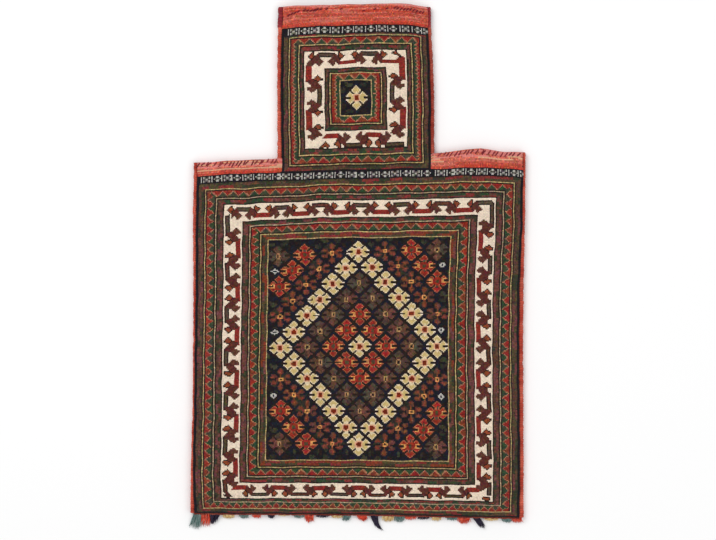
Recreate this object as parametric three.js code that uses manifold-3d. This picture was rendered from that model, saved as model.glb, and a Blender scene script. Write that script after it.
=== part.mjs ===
// A hand-knotted salt bag of wool, empty, lying on its back with its patterned front up.
// Millimetres, +Z up. The neck and its open mouth point along +Y.

import * as THREE from 'three';
import { mergeVertices } from 'three/addons/utils/BufferGeometryUtils.js';
import Module from 'manifold-3d';

const wasm = await Module();
wasm.setup();

// Outline of the bag, bindings included
const BODY_WIDTH = 360;
const LEFT_SHOULDER_HEIGHT = 388;
const RIGHT_SHOULDER_HEIGHT = 398;
const BAG_LENGTH = 557;
const NECK_WIDTH = 169;
const NECK_OFFSET = -2.6;

// Cloth
const FRONT_THICKNESS = 5;
const BACK_THICKNESS = 3;
const INNER_GAP = 10;
const SLOPE_WIDTH = 22;
const SLOPE_STEPS = 4;
const CLEARANCE = 0.3;

// Overcast edges
const BINDING_WIDTH = 5;
const BOTTOM_BINDING_WIDTH = 3;
const MOUTH_WRAP_WIDTH = 6.5;
const MOUTH_WRAP_LENGTH = 22;
const BINDING_SIDES = 12;

// Whip stitches that close the shoulders
const STITCH_PITCH = 8;
const STITCH_REACH = 5;
const STITCH_OVERHANG = 1;
const STITCH_SLANT = 3;
const THREAD_WIDTH = 1.8;
const THREAD_THICKNESS = 1.2;

// Relief of the woven frames, measured inwards from the edge of the pattern
const RELIEF_HEIGHT = 0.8;
const RELIEF_ROOT = 3;
const RIDGE_WIDTH = 1.6;
const BODY_PATTERN_TOP = 373;
const BODY_SIDE_FRAME = 28.7;
const BODY_TOP_FRAME = 29;
const BODY_BOTTOM_FRAME = 18.6;
const BODY_IVORY_SIDE = 20;
const BODY_IVORY_END = 18;
const BODY_INNER_FRAME_SIDE = 28;
const BODY_INNER_FRAME_END = 23.5;
const NECK_PATTERN_BOTTOM = 375;
const NECK_PATTERN_TOP = 531;
const NECK_SIDE_FRAME = 25;
const NECK_BOTTOM_FRAME = 25;
const NECK_TOP_FRAME = 25;
const NECK_IVORY_WIDTH = 19.5;
const NECK_INNER_FRAME = 18;
const RIDGES_PER_INNER_FRAME = 3;

// Flowers of the lattice in the field
const FLOWER_STEP_X = 14.4;
const FLOWER_STEP_Y = 16.6;
const FLOWER_REACH = 6;
const FLOWER_HALF_HEIGHT = 12.6;
const FLOWER_PETAL_X = 11.4;
const FLOWER_PETAL_Y = 4.8;
const FLOWER_SIDE_NOTCH = 6.6;
const FLOWER_NOTCH_X = 3.2;
const FLOWER_NOTCH_Y = 5.6;

// Wool tufts along the bottom edge. The profile gives shares of the half width and of the length,
// and each tuft its hanging length, lean in degrees and sideways shift
const TUFT_WIDTH = 9;
const TUFT_THICKNESS = 6;
const TUFT_SIDES = 8;
const TUFT_EDGE_INSET = 3;
const TUFT_PROFILE = [[0, 1], [0.55, 0.92], [0.95, 0.7], [1, 0.45], [0.7, 0.18], [0, 0]];
const TUFTS = [
  [19, -6, 0], [15, -4, -2.5], [12, 5, -5], [7, 8, -5], [7, -6, -2.4], [7, 4, -1], [7, -5, -1],
  [6, 6, 0], [7, -8, 0], [10, 5, -1], [6, -6, 1.4], [7, 5, 1], [9, -4, 0], [8, 7, 1.7],
  [18, 16, 0.5], [9, -5, 0.6], [10, 6, 0], [7, -7, -2], [7, 5, -2], [8, -4, -3], [7, 6, 0],
  [9, -5, -1.6], [16, 28, -1], [7, 4, 0], [8, -6, 2], [7, 5, 0],
];

// Wool colours
const COLOURS = {
  patternedFront: 0x5b3a30,
  plainBack: 0xa8483a,
  binding: 0xc04a3c,
  stitch: 0x78202c,
  tufts: [0x69918c, 0xe05030, 0x23233c, 0xebcd8c],
};

// Sizes that follow from the driving dimensions
const halfBody = BODY_WIDTH / 2;
const panelInset = BINDING_WIDTH + CLEARANCE;
const neckLeft = NECK_OFFSET - NECK_WIDTH / 2;
const neckRight = NECK_OFFSET + NECK_WIDTH / 2;
const panel = {
  left: -halfBody + panelInset,
  right: halfBody - panelInset,
  bottom: BOTTOM_BINDING_WIDTH + CLEARANCE,
  mouth: BAG_LENGTH,
  neckLeft: neckLeft + panelInset,
  neckRight: neckRight - panelInset,
};
const frontBase = BACK_THICKNESS + CLEARANCE;
const edgeHeight = frontBase + FRONT_THICKNESS;
const plateau = edgeHeight + INNER_GAP;

function wool(color) {
  return new THREE.MeshStandardMaterial({ color, roughness: 0.95, metalness: 0 });
}

function piece(name, geometry, color) {
  const mesh = new THREE.Mesh(geometry, wool(color));
  mesh.name = name;
  return mesh;
}

// Closed geometry to a solid that can be joined and cut, and back
function toSolid(geometry) {
  const bare = geometry.clone();
  bare.deleteAttribute('normal');
  bare.deleteAttribute('uv');
  const merged = mergeVertices(bare, 1e-4);
  return new wasm.Manifold(new wasm.Mesh({
    numProp: 3,
    vertProperties: new Float32Array(merged.attributes.position.array),
    triVerts: new Uint32Array(merged.index.array),
  }));
}

function toGeometry(solid) {
  const mesh = solid.getMesh();
  const geometry = new THREE.BufferGeometry();
  geometry.setAttribute('position', new THREE.BufferAttribute(mesh.vertProperties, 3));
  geometry.setIndex(new THREE.BufferAttribute(mesh.triVerts, 1));
  geometry.computeVertexNormals();
  return geometry;
}

// Corners of the bag's cloth, from one end of the mouth round to the other: narrow neck, wide body
const clothCorners = [
  new THREE.Vector2(panel.neckLeft, panel.mouth),
  new THREE.Vector2(panel.neckLeft, LEFT_SHOULDER_HEIGHT),
  new THREE.Vector2(panel.left, LEFT_SHOULDER_HEIGHT),
  new THREE.Vector2(panel.left, panel.bottom),
  new THREE.Vector2(panel.right, panel.bottom),
  new THREE.Vector2(panel.right, RIGHT_SHOULDER_HEIGHT),
  new THREE.Vector2(panel.neckRight, RIGHT_SHOULDER_HEIGHT),
  new THREE.Vector2(panel.neckRight, panel.mouth),
];

// Every edge between two of these corners is sewn shut, and the mouth between the ends stays open
const sewnEdges = clothCorners.slice(1).map((end, index) => {
  const start = clothCorners[index];
  return new THREE.Line3(new THREE.Vector3(start.x, start.y, 0), new THREE.Vector3(end.x, end.y, 0));
});

// How far the front stands off the back: nothing at a sewn edge, level further in
function standOff(x, y) {
  const point = new THREE.Vector3(x, y, 0);
  const nearest = new THREE.Vector3();
  const distances = sewnEdges.map((edge) => edge.closestPointToPoint(point, true, nearest).distanceTo(point));
  return INNER_GAP * THREE.MathUtils.smoothstep(Math.min(...distances), 0, SLOPE_WIDTH);
}

// Grid lines from an edge across the slope beside it, in the direction given by its sign
function slopeLines(edge, sign) {
  return Array.from({ length: SLOPE_STEPS + 1 }, (_, step) => edge + sign * SLOPE_WIDTH * step / SLOPE_STEPS);
}

function sortedLines(...groups) {
  const lines = groups.flat().sort((a, b) => a - b);
  return lines.filter((line, index) => index === 0 || line - lines[index - 1] > CLEARANCE);
}

// A rectangular slab bent over the grid lines, before its two upper corners are cut away
function bentSlab() {
  const columns = sortedLines(
    slopeLines(panel.left, 1), slopeLines(panel.neckLeft, 1),
    slopeLines(panel.neckRight, -1), slopeLines(panel.right, -1),
  );
  const rows = sortedLines(
    slopeLines(panel.bottom, 1), slopeLines(LEFT_SHOULDER_HEIGHT, -1),
    slopeLines(RIGHT_SHOULDER_HEIGHT, -1), [panel.mouth],
  );
  const slab = new THREE.BoxGeometry(1, 1, 1, columns.length - 1, rows.length - 1, 1);
  const position = slab.attributes.position;
  for (let i = 0; i < position.count; i += 1) {
    const x = columns[Math.round((position.getX(i) + 0.5) * (columns.length - 1))];
    const y = rows[Math.round((position.getY(i) + 0.5) * (rows.length - 1))];
    const base = frontBase + standOff(x, y);
    position.setXYZ(i, x, y, position.getZ(i) > 0 ? base + FRONT_THICKNESS : base);
  }
  return toSolid(slab);
}

// The empty corner beside the neck, above one shoulder
function cornerAbove(shoulderHeight, fromX, toX) {
  const margin = BINDING_WIDTH;
  const height = panel.mouth - shoulderHeight + margin;
  const depth = 2 * plateau;
  const corner = new THREE.BoxGeometry(toX - fromX, height, depth);
  corner.translate((fromX + toX) / 2, shoulderHeight + height / 2, plateau / 2);
  return toSolid(corner);
}

// Relief on the level part: an outline raised above it, rooted inside the cloth
function raised(shape) {
  const geometry = new THREE.ExtrudeGeometry(shape, {
    depth: RELIEF_ROOT + RELIEF_HEIGHT, bevelEnabled: false, curveSegments: 1,
  });
  geometry.translate(0, 0, plateau - RELIEF_ROOT);
  return toSolid(geometry);
}

function rectangle(box) {
  return [
    new THREE.Vector2(box.left, box.bottom), new THREE.Vector2(box.right, box.bottom),
    new THREE.Vector2(box.right, box.top), new THREE.Vector2(box.left, box.top),
  ];
}

function inset(box, side, bottom, top) {
  return { left: box.left + side, right: box.right - side, bottom: box.bottom + bottom, top: box.top - top };
}

function raisedFrame(outer, inner) {
  const shape = new THREE.Shape(rectangle(outer));
  shape.holes.push(new THREE.Path(rectangle(inner)));
  return raised(shape);
}

// The raised ivory border and the thin ridges of the frame inside it
function patternFrames(pattern, frame, ivorySide, ivoryEnd, innerSide, innerEnd) {
  const ivoryOuter = inset(pattern, frame.side, frame.bottom, frame.top);
  const ivoryInner = inset(ivoryOuter, ivorySide, ivoryEnd, ivoryEnd);
  const frames = [raisedFrame(ivoryOuter, ivoryInner)];
  for (let ridge = 1; ridge <= RIDGES_PER_INNER_FRAME; ridge += 1) {
    const share = ridge / RIDGES_PER_INNER_FRAME;
    const ridgeInner = inset(ivoryInner, innerSide * share, innerEnd * share, innerEnd * share);
    frames.push(raisedFrame(inset(ridgeInner, -RIDGE_WIDTH, -RIDGE_WIDTH, -RIDGE_WIDTH), ridgeInner));
  }
  return { frames, field: inset(ivoryInner, innerSide, innerEnd, innerEnd) };
}

// A six-petalled flower: one petal up, one down and two at each side
function flower(centreX, centreY) {
  const quarter = [
    [0, FLOWER_HALF_HEIGHT], [FLOWER_NOTCH_X, FLOWER_NOTCH_Y],
    [FLOWER_PETAL_X, FLOWER_PETAL_Y], [FLOWER_SIDE_NOTCH, 0],
  ];
  const lowerRight = quarter.slice(0, 3).reverse().map(([x, y]) => [x, -y]);
  const right = [...quarter, ...lowerRight];
  const left = right.slice(1, -1).reverse().map(([x, y]) => [-x, y]);
  const points = [...right, ...left].map(([x, y]) => new THREE.Vector2(centreX + x, centreY + y));
  return raised(new THREE.Shape(points));
}

function flowerLattice(field) {
  const centreX = (field.left + field.right) / 2;
  const centreY = (field.bottom + field.top) / 2;
  const flowers = [];
  for (let column = -FLOWER_REACH; column <= FLOWER_REACH; column += 1) {
    for (let row = -FLOWER_REACH; row <= FLOWER_REACH; row += 1) {
      if ((column + row) % 2 === 0) {
        flowers.push(flower(centreX + column * FLOWER_STEP_X, centreY + row * FLOWER_STEP_Y));
      }
    }
  }
  return flowers;
}

function frontPanel() {
  const body = patternFrames(
    { left: panel.left, right: panel.right, bottom: panel.bottom, top: BODY_PATTERN_TOP },
    { side: BODY_SIDE_FRAME, bottom: BODY_BOTTOM_FRAME, top: BODY_TOP_FRAME },
    BODY_IVORY_SIDE, BODY_IVORY_END, BODY_INNER_FRAME_SIDE, BODY_INNER_FRAME_END,
  );
  const neck = patternFrames(
    { left: panel.neckLeft, right: panel.neckRight, bottom: NECK_PATTERN_BOTTOM, top: NECK_PATTERN_TOP },
    { side: NECK_SIDE_FRAME, bottom: NECK_BOTTOM_FRAME, top: NECK_TOP_FRAME },
    NECK_IVORY_WIDTH, NECK_IVORY_WIDTH, NECK_INNER_FRAME, NECK_INNER_FRAME,
  );
  const { left, right, bottom, top } = neck.field;
  const neckFlower = flower((left + right) / 2, (bottom + top) / 2);
  const cloth = bentSlab()
    .subtract(cornerAbove(LEFT_SHOULDER_HEIGHT, -BODY_WIDTH, panel.neckLeft))
    .subtract(cornerAbove(RIGHT_SHOULDER_HEIGHT, panel.neckRight, BODY_WIDTH));
  const relief = [...body.frames, ...neck.frames, ...flowerLattice(body.field), neckFlower];
  return toGeometry(relief.reduce((solid, part) => solid.add(part), cloth));
}

function backPanel() {
  const outline = new THREE.Shape(clothCorners);
  return new THREE.ExtrudeGeometry(outline, { depth: BACK_THICKNESS, bevelEnabled: false });
}

// An overcast edge: an oval roll over both cloths, laid along Y from one height to another
function edgeRoll(width, length) {
  const oval = new THREE.Shape().absellipse(0, 0, width / 2, edgeHeight / 2, 0, 2 * Math.PI);
  const roll = new THREE.ExtrudeGeometry(oval, {
    depth: length, bevelEnabled: false, curveSegments: BINDING_SIDES,
  });
  roll.rotateX(-Math.PI / 2);
  return roll;
}

function sideRoll(name, width, centreX, fromY, toY, color) {
  const roll = piece(name, edgeRoll(width, toY - fromY), color);
  roll.position.set(centreX, fromY, edgeHeight / 2);
  return roll;
}

function bottomRoll() {
  const length = panel.right - panel.left;
  const roll = piece('bottom_binding', edgeRoll(BOTTOM_BINDING_WIDTH, length), COLOURS.binding);
  roll.rotation.z = -Math.PI / 2;
  roll.position.set(panel.left, BOTTOM_BINDING_WIDTH / 2, edgeHeight / 2);
  return roll;
}

// One zigzag thread over a shoulder: slanted strokes on the front that turn beyond the edge
function whipStitching(name, shoulderHeight, fromX, toX) {
  const run = toX - fromX - STITCH_SLANT;
  const stitchCount = Math.round(run / STITCH_PITCH);
  const foot = -STITCH_REACH + THREAD_WIDTH / 2;
  const crest = STITCH_OVERHANG - THREAD_WIDTH / 2;
  const route = [];
  for (let stitch = 0; stitch <= stitchCount; stitch += 1) {
    const footX = fromX + run * stitch / stitchCount;
    route.push(new THREE.Vector2(footX, foot), new THREE.Vector2(footX + STITCH_SLANT, crest));
  }
  const side = new THREE.Vector2(0, THREAD_WIDTH / 2);
  const lowerSide = route.map((point) => point.clone().sub(side));
  const upperSide = route.map((point) => point.clone().add(side)).reverse();
  const thread = new THREE.ExtrudeGeometry(new THREE.Shape([...lowerSide, ...upperSide]), {
    depth: THREAD_THICKNESS, bevelEnabled: false,
  });
  const mesh = piece(name, thread, COLOURS.stitch);
  const seatHeight = edgeHeight + INNER_GAP * THREE.MathUtils.smoothstep(STITCH_REACH, 0, SLOPE_WIDTH);
  mesh.position.set(0, shoulderHeight, seatHeight + CLEARANCE);
  return mesh;
}

// A tuft of cut yarn: narrow where it is knotted to the edge, full, then drawn to a tip
function tuft(index, [length, lean, shift]) {
  const radius = TUFT_WIDTH / 2;
  const points = TUFT_PROFILE.map(([girth, drop]) => new THREE.Vector2(girth * radius, -drop * length));
  const geometry = new THREE.LatheGeometry(points, TUFT_SIDES);
  geometry.scale(1, 1, TUFT_THICKNESS / TUFT_WIDTH);
  geometry.rotateZ(THREE.MathUtils.degToRad(lean));
  geometry.computeBoundingBox();
  const number = String(index + 1).padStart(2, '0');
  const mesh = piece(`tuft_${number}`, geometry, COLOURS.tufts[index % COLOURS.tufts.length]);
  const spacing = (BODY_WIDTH - 2 * TUFT_EDGE_INSET) / (TUFTS.length - 1);
  const rootX = -halfBody + TUFT_EDGE_INSET + index * spacing + shift;
  mesh.position.set(rootX, -CLEARANCE - geometry.boundingBox.max.y, edgeHeight / 2);
  return mesh;
}

function bagBindings() {
  const wrapStart = BAG_LENGTH - MOUTH_WRAP_LENGTH;
  const bodyX = halfBody - BINDING_WIDTH / 2;
  const { binding, stitch } = COLOURS;
  const leftFoot = LEFT_SHOULDER_HEIGHT + CLEARANCE;
  const rightFoot = RIGHT_SHOULDER_HEIGHT + CLEARANCE;
  const neckTop = wrapStart - CLEARANCE;
  const leftNeckX = neckLeft + BINDING_WIDTH / 2;
  const rightNeckX = neckRight - BINDING_WIDTH / 2;
  const leftWrapX = panel.neckLeft - CLEARANCE - MOUTH_WRAP_WIDTH / 2;
  const rightWrapX = panel.neckRight + CLEARANCE + MOUTH_WRAP_WIDTH / 2;
  return [
    sideRoll('body_binding_left', BINDING_WIDTH, -bodyX, 0, LEFT_SHOULDER_HEIGHT, binding),
    sideRoll('body_binding_right', BINDING_WIDTH, bodyX, 0, RIGHT_SHOULDER_HEIGHT, binding),
    sideRoll('neck_binding_left', BINDING_WIDTH, leftNeckX, leftFoot, neckTop, binding),
    sideRoll('neck_binding_right', BINDING_WIDTH, rightNeckX, rightFoot, neckTop, binding),
    sideRoll('mouth_wrap_left', MOUTH_WRAP_WIDTH, leftWrapX, wrapStart, BAG_LENGTH, stitch),
    sideRoll('mouth_wrap_right', MOUTH_WRAP_WIDTH, rightWrapX, wrapStart, BAG_LENGTH, stitch),
    bottomRoll(),
  ];
}

const bag = new THREE.Group();
bag.add(piece('front_panel', frontPanel(), COLOURS.patternedFront));
bag.add(piece('back_panel', backPanel(), COLOURS.plainBack));
bag.add(...bagBindings());
bag.add(whipStitching('shoulder_stitching_left', LEFT_SHOULDER_HEIGHT, panel.left, neckLeft));
bag.add(whipStitching('shoulder_stitching_right', RIGHT_SHOULDER_HEIGHT, neckRight, panel.right));
bag.add(...TUFTS.map((shape, index) => tuft(index, shape)));

// The origin lies under the middle of the whole bag
const middle = new THREE.Box3().setFromObject(bag).getCenter(new THREE.Vector3());
bag.position.set(-middle.x, -middle.y, 0);

export default bag;
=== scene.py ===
"""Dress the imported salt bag: knotted front, plain back, overcast edges, stitches and yarn tufts."""

import logging
import math
from collections.abc import Callable, Sequence
from dataclasses import dataclass, field, replace
from enum import Enum

import bmesh
import bpy
import numpy as np
from mathutils import Matrix, Vector


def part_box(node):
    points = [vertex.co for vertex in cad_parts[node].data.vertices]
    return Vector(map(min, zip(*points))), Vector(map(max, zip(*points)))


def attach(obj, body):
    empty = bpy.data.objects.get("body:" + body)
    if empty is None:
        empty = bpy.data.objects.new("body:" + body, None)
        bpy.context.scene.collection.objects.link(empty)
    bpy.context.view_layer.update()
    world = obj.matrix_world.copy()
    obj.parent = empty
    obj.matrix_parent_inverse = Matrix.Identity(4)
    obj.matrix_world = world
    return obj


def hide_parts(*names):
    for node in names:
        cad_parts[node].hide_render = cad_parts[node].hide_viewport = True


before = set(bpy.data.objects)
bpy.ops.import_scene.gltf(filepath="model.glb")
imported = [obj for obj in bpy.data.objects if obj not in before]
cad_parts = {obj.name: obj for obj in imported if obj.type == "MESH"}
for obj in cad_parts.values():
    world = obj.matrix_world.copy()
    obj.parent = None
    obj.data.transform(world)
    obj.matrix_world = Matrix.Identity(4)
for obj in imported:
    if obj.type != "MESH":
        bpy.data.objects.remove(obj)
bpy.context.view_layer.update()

LOG = logging.getLogger("bag")
MM = 0.001
BODY = "root"

Point = tuple[float, float]
Place = Callable[[float, float], Point]


class Wool(Enum):
    """Dyed yarns of the bag, as the sRGB colour that each shows."""

    NIGHT = (22, 18, 23)
    SOOT = (36, 24, 19)
    IVORY = (239, 219, 196)
    MILK = (226, 206, 170)
    CREAM = (204, 178, 116)
    STRAW = (182, 158, 108)
    FLAX = (176, 154, 122)
    UMBER = (90, 62, 47)
    OLIVE = (80, 65, 43)
    MOSS = (56, 55, 39)
    PLUM = (108, 62, 58)
    WINE = (122, 48, 44)
    MADDER = (136, 34, 28)
    RUST = (122, 54, 33)
    SCARLET = (138, 43, 32)
    PINE = (46, 64, 42)
    TEAL = (62, 64, 48)
    PEACH = (164, 112, 84)
    CHESTNUT = (86, 57, 45)
    MAHOGANY = (88, 42, 35)
    SIENNA = (136, 66, 40)
    HAZEL = (82, 66, 54)
    RUSSET = (92, 53, 42)
    GARNET = (132, 42, 34)
    EMBER = (112, 36, 12)
    FLAME = (142, 38, 28)
    CRIMSON = (152, 34, 34)
    POPPY = (190, 64, 46)
    BLUSH = (168, 94, 64)
    HONEY = (206, 142, 82)
    BARK = (77, 57, 48)
    SAGE = (74, 66, 54)
    TAN = (164, 126, 84)
    CORAL = (130, 60, 45)
    MAUVE = (104, 62, 54)
    COPPER = (122, 66, 40)
    INDIGO = (20, 22, 36)
    CHALK = (190, 186, 178)
    LICHEN = (108, 103, 98)
    DUSK = (44, 42, 33)
    BRICK = (192, 80, 62)
    CLAY = (204, 106, 88)
    ROSE = (222, 132, 124)
    SAND = (220, 164, 130)

    @property
    def order(self) -> int:
        """Place of this yarn in the palette."""
        return YARNS.index(self)


YARNS: list[Wool] = list(Wool)


class Side(Enum):
    """Sides of a woven frame, in the order in which corners are shared out."""

    LEFT = 0
    RIGHT = 1
    BOTTOM = 2
    TOP = 3


class Weave(Enum):
    """What a layer of the frames shows: least and most knots of a dash, and two mixes of yarns.

    Dashes have one mix at the sides and one at top and bottom; a zigzag has one outside and one inside.
    """

    PLAIN = (1, 2, (), ())
    ZIGZAG = (1, 2, (Wool.MADDER, Wool.RUST, Wool.SCARLET), (Wool.PINE, Wool.PINE, Wool.TEAL))
    DASHES = (3, 8, (Wool.CHESTNUT, Wool.PLUM, Wool.MOSS, Wool.UMBER, Wool.PLUM),
              (Wool.MOSS, Wool.WINE, Wool.PINE, Wool.CHESTNUT, Wool.PLUM))
    LONG_DASHES = (6, 15, (Wool.UMBER, Wool.OLIVE, Wool.PLUM, Wool.CHESTNUT, Wool.MOSS),
                   (Wool.OLIVE, Wool.WINE, Wool.MOSS, Wool.UMBER))
    WARM_DASHES = (4, 10, (Wool.RUSSET, Wool.RUST, Wool.OLIVE, Wool.PLUM, Wool.MOSS),
                   (Wool.RUST, Wool.OLIVE, Wool.WINE, Wool.MOSS, Wool.RUSSET))


@dataclass(frozen=True)
class FrameLayer:
    """One of the concentric layers round a field, with its width in knots."""

    wool: Wool
    side: int
    top: int
    bottom: int
    weave: Weave = Weave.PLAIN

    def width(self, side: Side) -> int:
        """Width of the layer in knots on one side."""
        return {Side.TOP: self.top, Side.BOTTOM: self.bottom}.get(side, self.side)


@dataclass(frozen=True)
class ZigzagPitch:
    """For each side of a frame, knots from one triangle to the next and the place of a red point."""

    left: Point
    right: Point
    bottom: Point
    top: Point
    side_swing: float = 0.84

    def swing(self, side: Side) -> float:
        """Share of the layer's width that the line between the triangles crosses."""
        return self.side_swing if side in (Side.LEFT, Side.RIGHT) else 0.84

    def turns(self, side: Side, along: np.ndarray) -> np.ndarray:
        """Count triangles along one side."""
        pitch, start = (self.left, self.right, self.bottom, self.top)[side.value]
        return (along - start) / pitch


@dataclass(frozen=True)
class Lattice:
    """A lattice of diamond cells that leans a little, as the weaver's rows drift."""

    centre: Point
    step: Point
    lean_x: tuple[float, float, float, float] = (0.0, 0.0, 0.0, 0.0)
    lean_y: tuple[float, float, float, float] = (0.0, 0.0, 0.0, 0.0)

    def places(self, x: np.ndarray, y: np.ndarray) -> tuple[np.ndarray, np.ndarray]:
        """Turn knots into steps of the lattice.

        Args:
            x: Knots from the left edge.
            y: Knots from the bottom edge.

        Returns:
            Steps to the right and up from the centre.
        """
        u = (x - self.centre[0]) / self.step[0]
        v = (y - self.centre[1]) / self.step[1]
        strays = []
        for other, (across, both, rows, columns) in ((v, self.lean_x), (u, self.lean_y)):
            strays.append(across * other + both * u * v + rows * v * v + columns * u * u)
        return u - strays[0] / self.step[0], v - strays[1] / self.step[1]


@dataclass
class WeaverChart:
    """A rectangular chart with one cell for each knot, counted from the lower left."""

    columns: int
    rows: int
    seed: int
    ground: Wool = Wool.NIGHT
    cells: np.ndarray = field(init=False)
    x: np.ndarray = field(init=False)
    y: np.ndarray = field(init=False)
    random: np.random.Generator = field(init=False)

    def __post_init__(self) -> None:
        """Start with bare ground."""
        self.cells = np.full((self.rows, self.columns), self.ground.order, dtype=np.int16)
        self.x, self.y = np.meshgrid(np.arange(self.columns) + 0.5, np.arange(self.rows) + 0.5)
        self.random = np.random.default_rng(self.seed)

    def paint(self, mask: np.ndarray, wool: Wool) -> None:
        """Knot every cell of a mask in one yarn."""
        self.cells[mask] = wool.order

    def paint_mix(self, mask: np.ndarray, wools: Sequence[Wool], number: np.ndarray) -> None:
        """Knot a mask in several yarns, chosen by a number for each cell."""
        orders = np.array([wool.order for wool in wools])
        self.cells[mask] = orders[np.asarray(number, dtype=int) % len(wools)][mask]

    def outlined(self, mask: np.ndarray, core: Wool, edge: Wool = Wool.SOOT) -> None:
        """Knot a mask with a dark edge round it."""
        self.paint(mask, core)
        self.paint(self.rim(mask), edge)

    def patch(self, points: Sequence[Point], wool: Wool) -> None:
        """Knot the inside of a closed outline in one yarn."""
        self.paint(self.polygon(points), wool)

    def polygon(self, points: Sequence[Point]) -> np.ndarray:
        """Find the knots inside a closed outline.

        Args:
            points: Corners in knots.

        Returns:
            Mask of the knots whose middle lies inside.
        """
        inside = np.zeros(self.cells.shape, dtype=bool)
        for (x0, y0), (x1, y1) in zip(points, [*points[1:], points[0]]):
            if y0 == y1:
                continue
            spans = (self.y < y0) != (self.y < y1)
            inside ^= spans & (self.x < x0 + (self.y - y0) * (x1 - x0) / (y1 - y0))
        return inside

    @staticmethod
    def rim(mask: np.ndarray) -> np.ndarray:
        """Find the outermost knots of a mask."""
        padded = np.pad(mask, 1)
        core = padded[:-2, 1:-1] & padded[2:, 1:-1] & padded[1:-1, :-2] & padded[1:-1, 2:]
        return mask & ~core

    def depths(self, layers: Sequence[FrameLayer], top_row: int) -> tuple[np.ndarray, np.ndarray]:
        """Measure how many layers deep each knot lies, and on which side.

        Args:
            layers: Frame layers from the edge inwards.
            top_row: Row where the frames end at the top.

        Returns:
            Depth in layers, and the number of the side that owns the knot.
        """
        reach = {
            Side.LEFT: self.x,
            Side.RIGHT: self.columns - self.x,
            Side.BOTTOM: self.y,
            Side.TOP: top_row - self.y,
        }
        stacks = []
        for side in Side:
            widths = np.array([max(layer.width(side), 1e-6) for layer in layers])
            edges = np.concatenate(([0.0], np.cumsum(widths)))
            stacks.append(np.interp(reach[side], edges, np.arange(len(layers) + 1.0)))
        depth = np.stack(stacks)
        return depth.min(axis=0), depth.argmin(axis=0)

    def band_middles(self, layers: Sequence[FrameLayer], number: int, top_row: int) -> list[float]:
        """Find the middle line of one layer on each side.

        Args:
            layers: Frame layers from the edge inwards.
            number: Number of the layer.
            top_row: Row where the frames end at the top.

        Returns:
            Columns of the left and right lines and rows of the bottom and top ones.
        """
        reach = [
            sum(layer.width(side) for layer in layers[:number]) + layers[number].width(side) / 2.0
            for side in Side
        ]
        left, right, bottom, top = reach
        return [left, self.columns - right, bottom, top_row - top]

    def frames(
        self, layers: Sequence[FrameLayer], pitches: Sequence[ZigzagPitch], top_row: int
    ) -> np.ndarray:
        """Knot the concentric frames.

        Args:
            layers: Frame layers from the edge inwards.
            pitches: Pitches of the zigzags, from the outermost in.
            top_row: Row where the frames end at the top.

        Returns:
            Mask of the field that the frames enclose.
        """
        depth, owner = self.depths(layers, top_row)
        below = self.y < top_row
        coming = iter(pitches)
        for number, layer in enumerate(layers):
            pitch = next(coming) if layer.weave is Weave.ZIGZAG else None
            for side in Side:
                mask = below & (owner == side.value) & (np.floor(depth) == number)
                along = self.x if side in (Side.TOP, Side.BOTTOM) else self.y
                if layer.weave is Weave.PLAIN:
                    self.paint(mask, layer.wool)
                elif layer.weave is Weave.ZIGZAG:
                    line = pitch.turns(side, along), pitch.swing(side)
                    self.zigzag(mask, depth - number, *line, layer.width(side))
                else:
                    mix = 3 if side in (Side.TOP, Side.BOTTOM) else 2
                    self.dashes(mask, along, depth - number, layer.weave, layer.weave.value[mix])
        return below & (depth >= len(layers))

    def zigzag(
        self, mask: np.ndarray, across: np.ndarray, turns: np.ndarray, swing: float, width: int
    ) -> None:
        """Knot red triangles outside and green ones inside, with a pale line between them.

        Args:
            mask: Knots of the layer on one side.
            across: Share of the layer's width from its outer edge.
            turns: Distance along the side in triangles.
            swing: Share of the width that the line between the triangles crosses.
            width: Width of the layer in knots.
        """
        _, _, reds, greens = Weave.ZIGZAG.value
        peak = 0.5 + swing * (np.abs(2.0 * (turns % 1.0) - 1.0) - 0.5)
        offset = (across - peak) * width
        picks = self.random.integers(0, 6, size=400)
        self.paint_mix(mask & (offset < 0), reds, picks[np.floor(turns + 0.5).astype(int)])
        self.paint_mix(mask & (offset >= 0), greens, picks[np.floor(turns).astype(int)])
        self.paint(mask & (np.abs(offset) < 0.6), Wool.PEACH)

    def dashes(
        self, mask: np.ndarray, along: np.ndarray, across: np.ndarray, weave: Weave, wools: Sequence[Wool]
    ) -> None:
        """Knot a stripe of dashes, in two rows that change yarn by turns.

        Args:
            mask: Knots of the layer on one side.
            along: Distance along the side in knots.
            across: Share of the layer's width from its outer edge.
            weave: Kind of dashes.
            wools: Their yarns.
        """
        for half in (across < 0.5, across >= 0.5):
            ends = np.cumsum(self.random.integers(*weave.value[:2], size=300))
            picks = self.random.integers(0, 60, size=301)
            self.paint_mix(mask & half, wools, picks[np.searchsorted(ends, along)])

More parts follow.
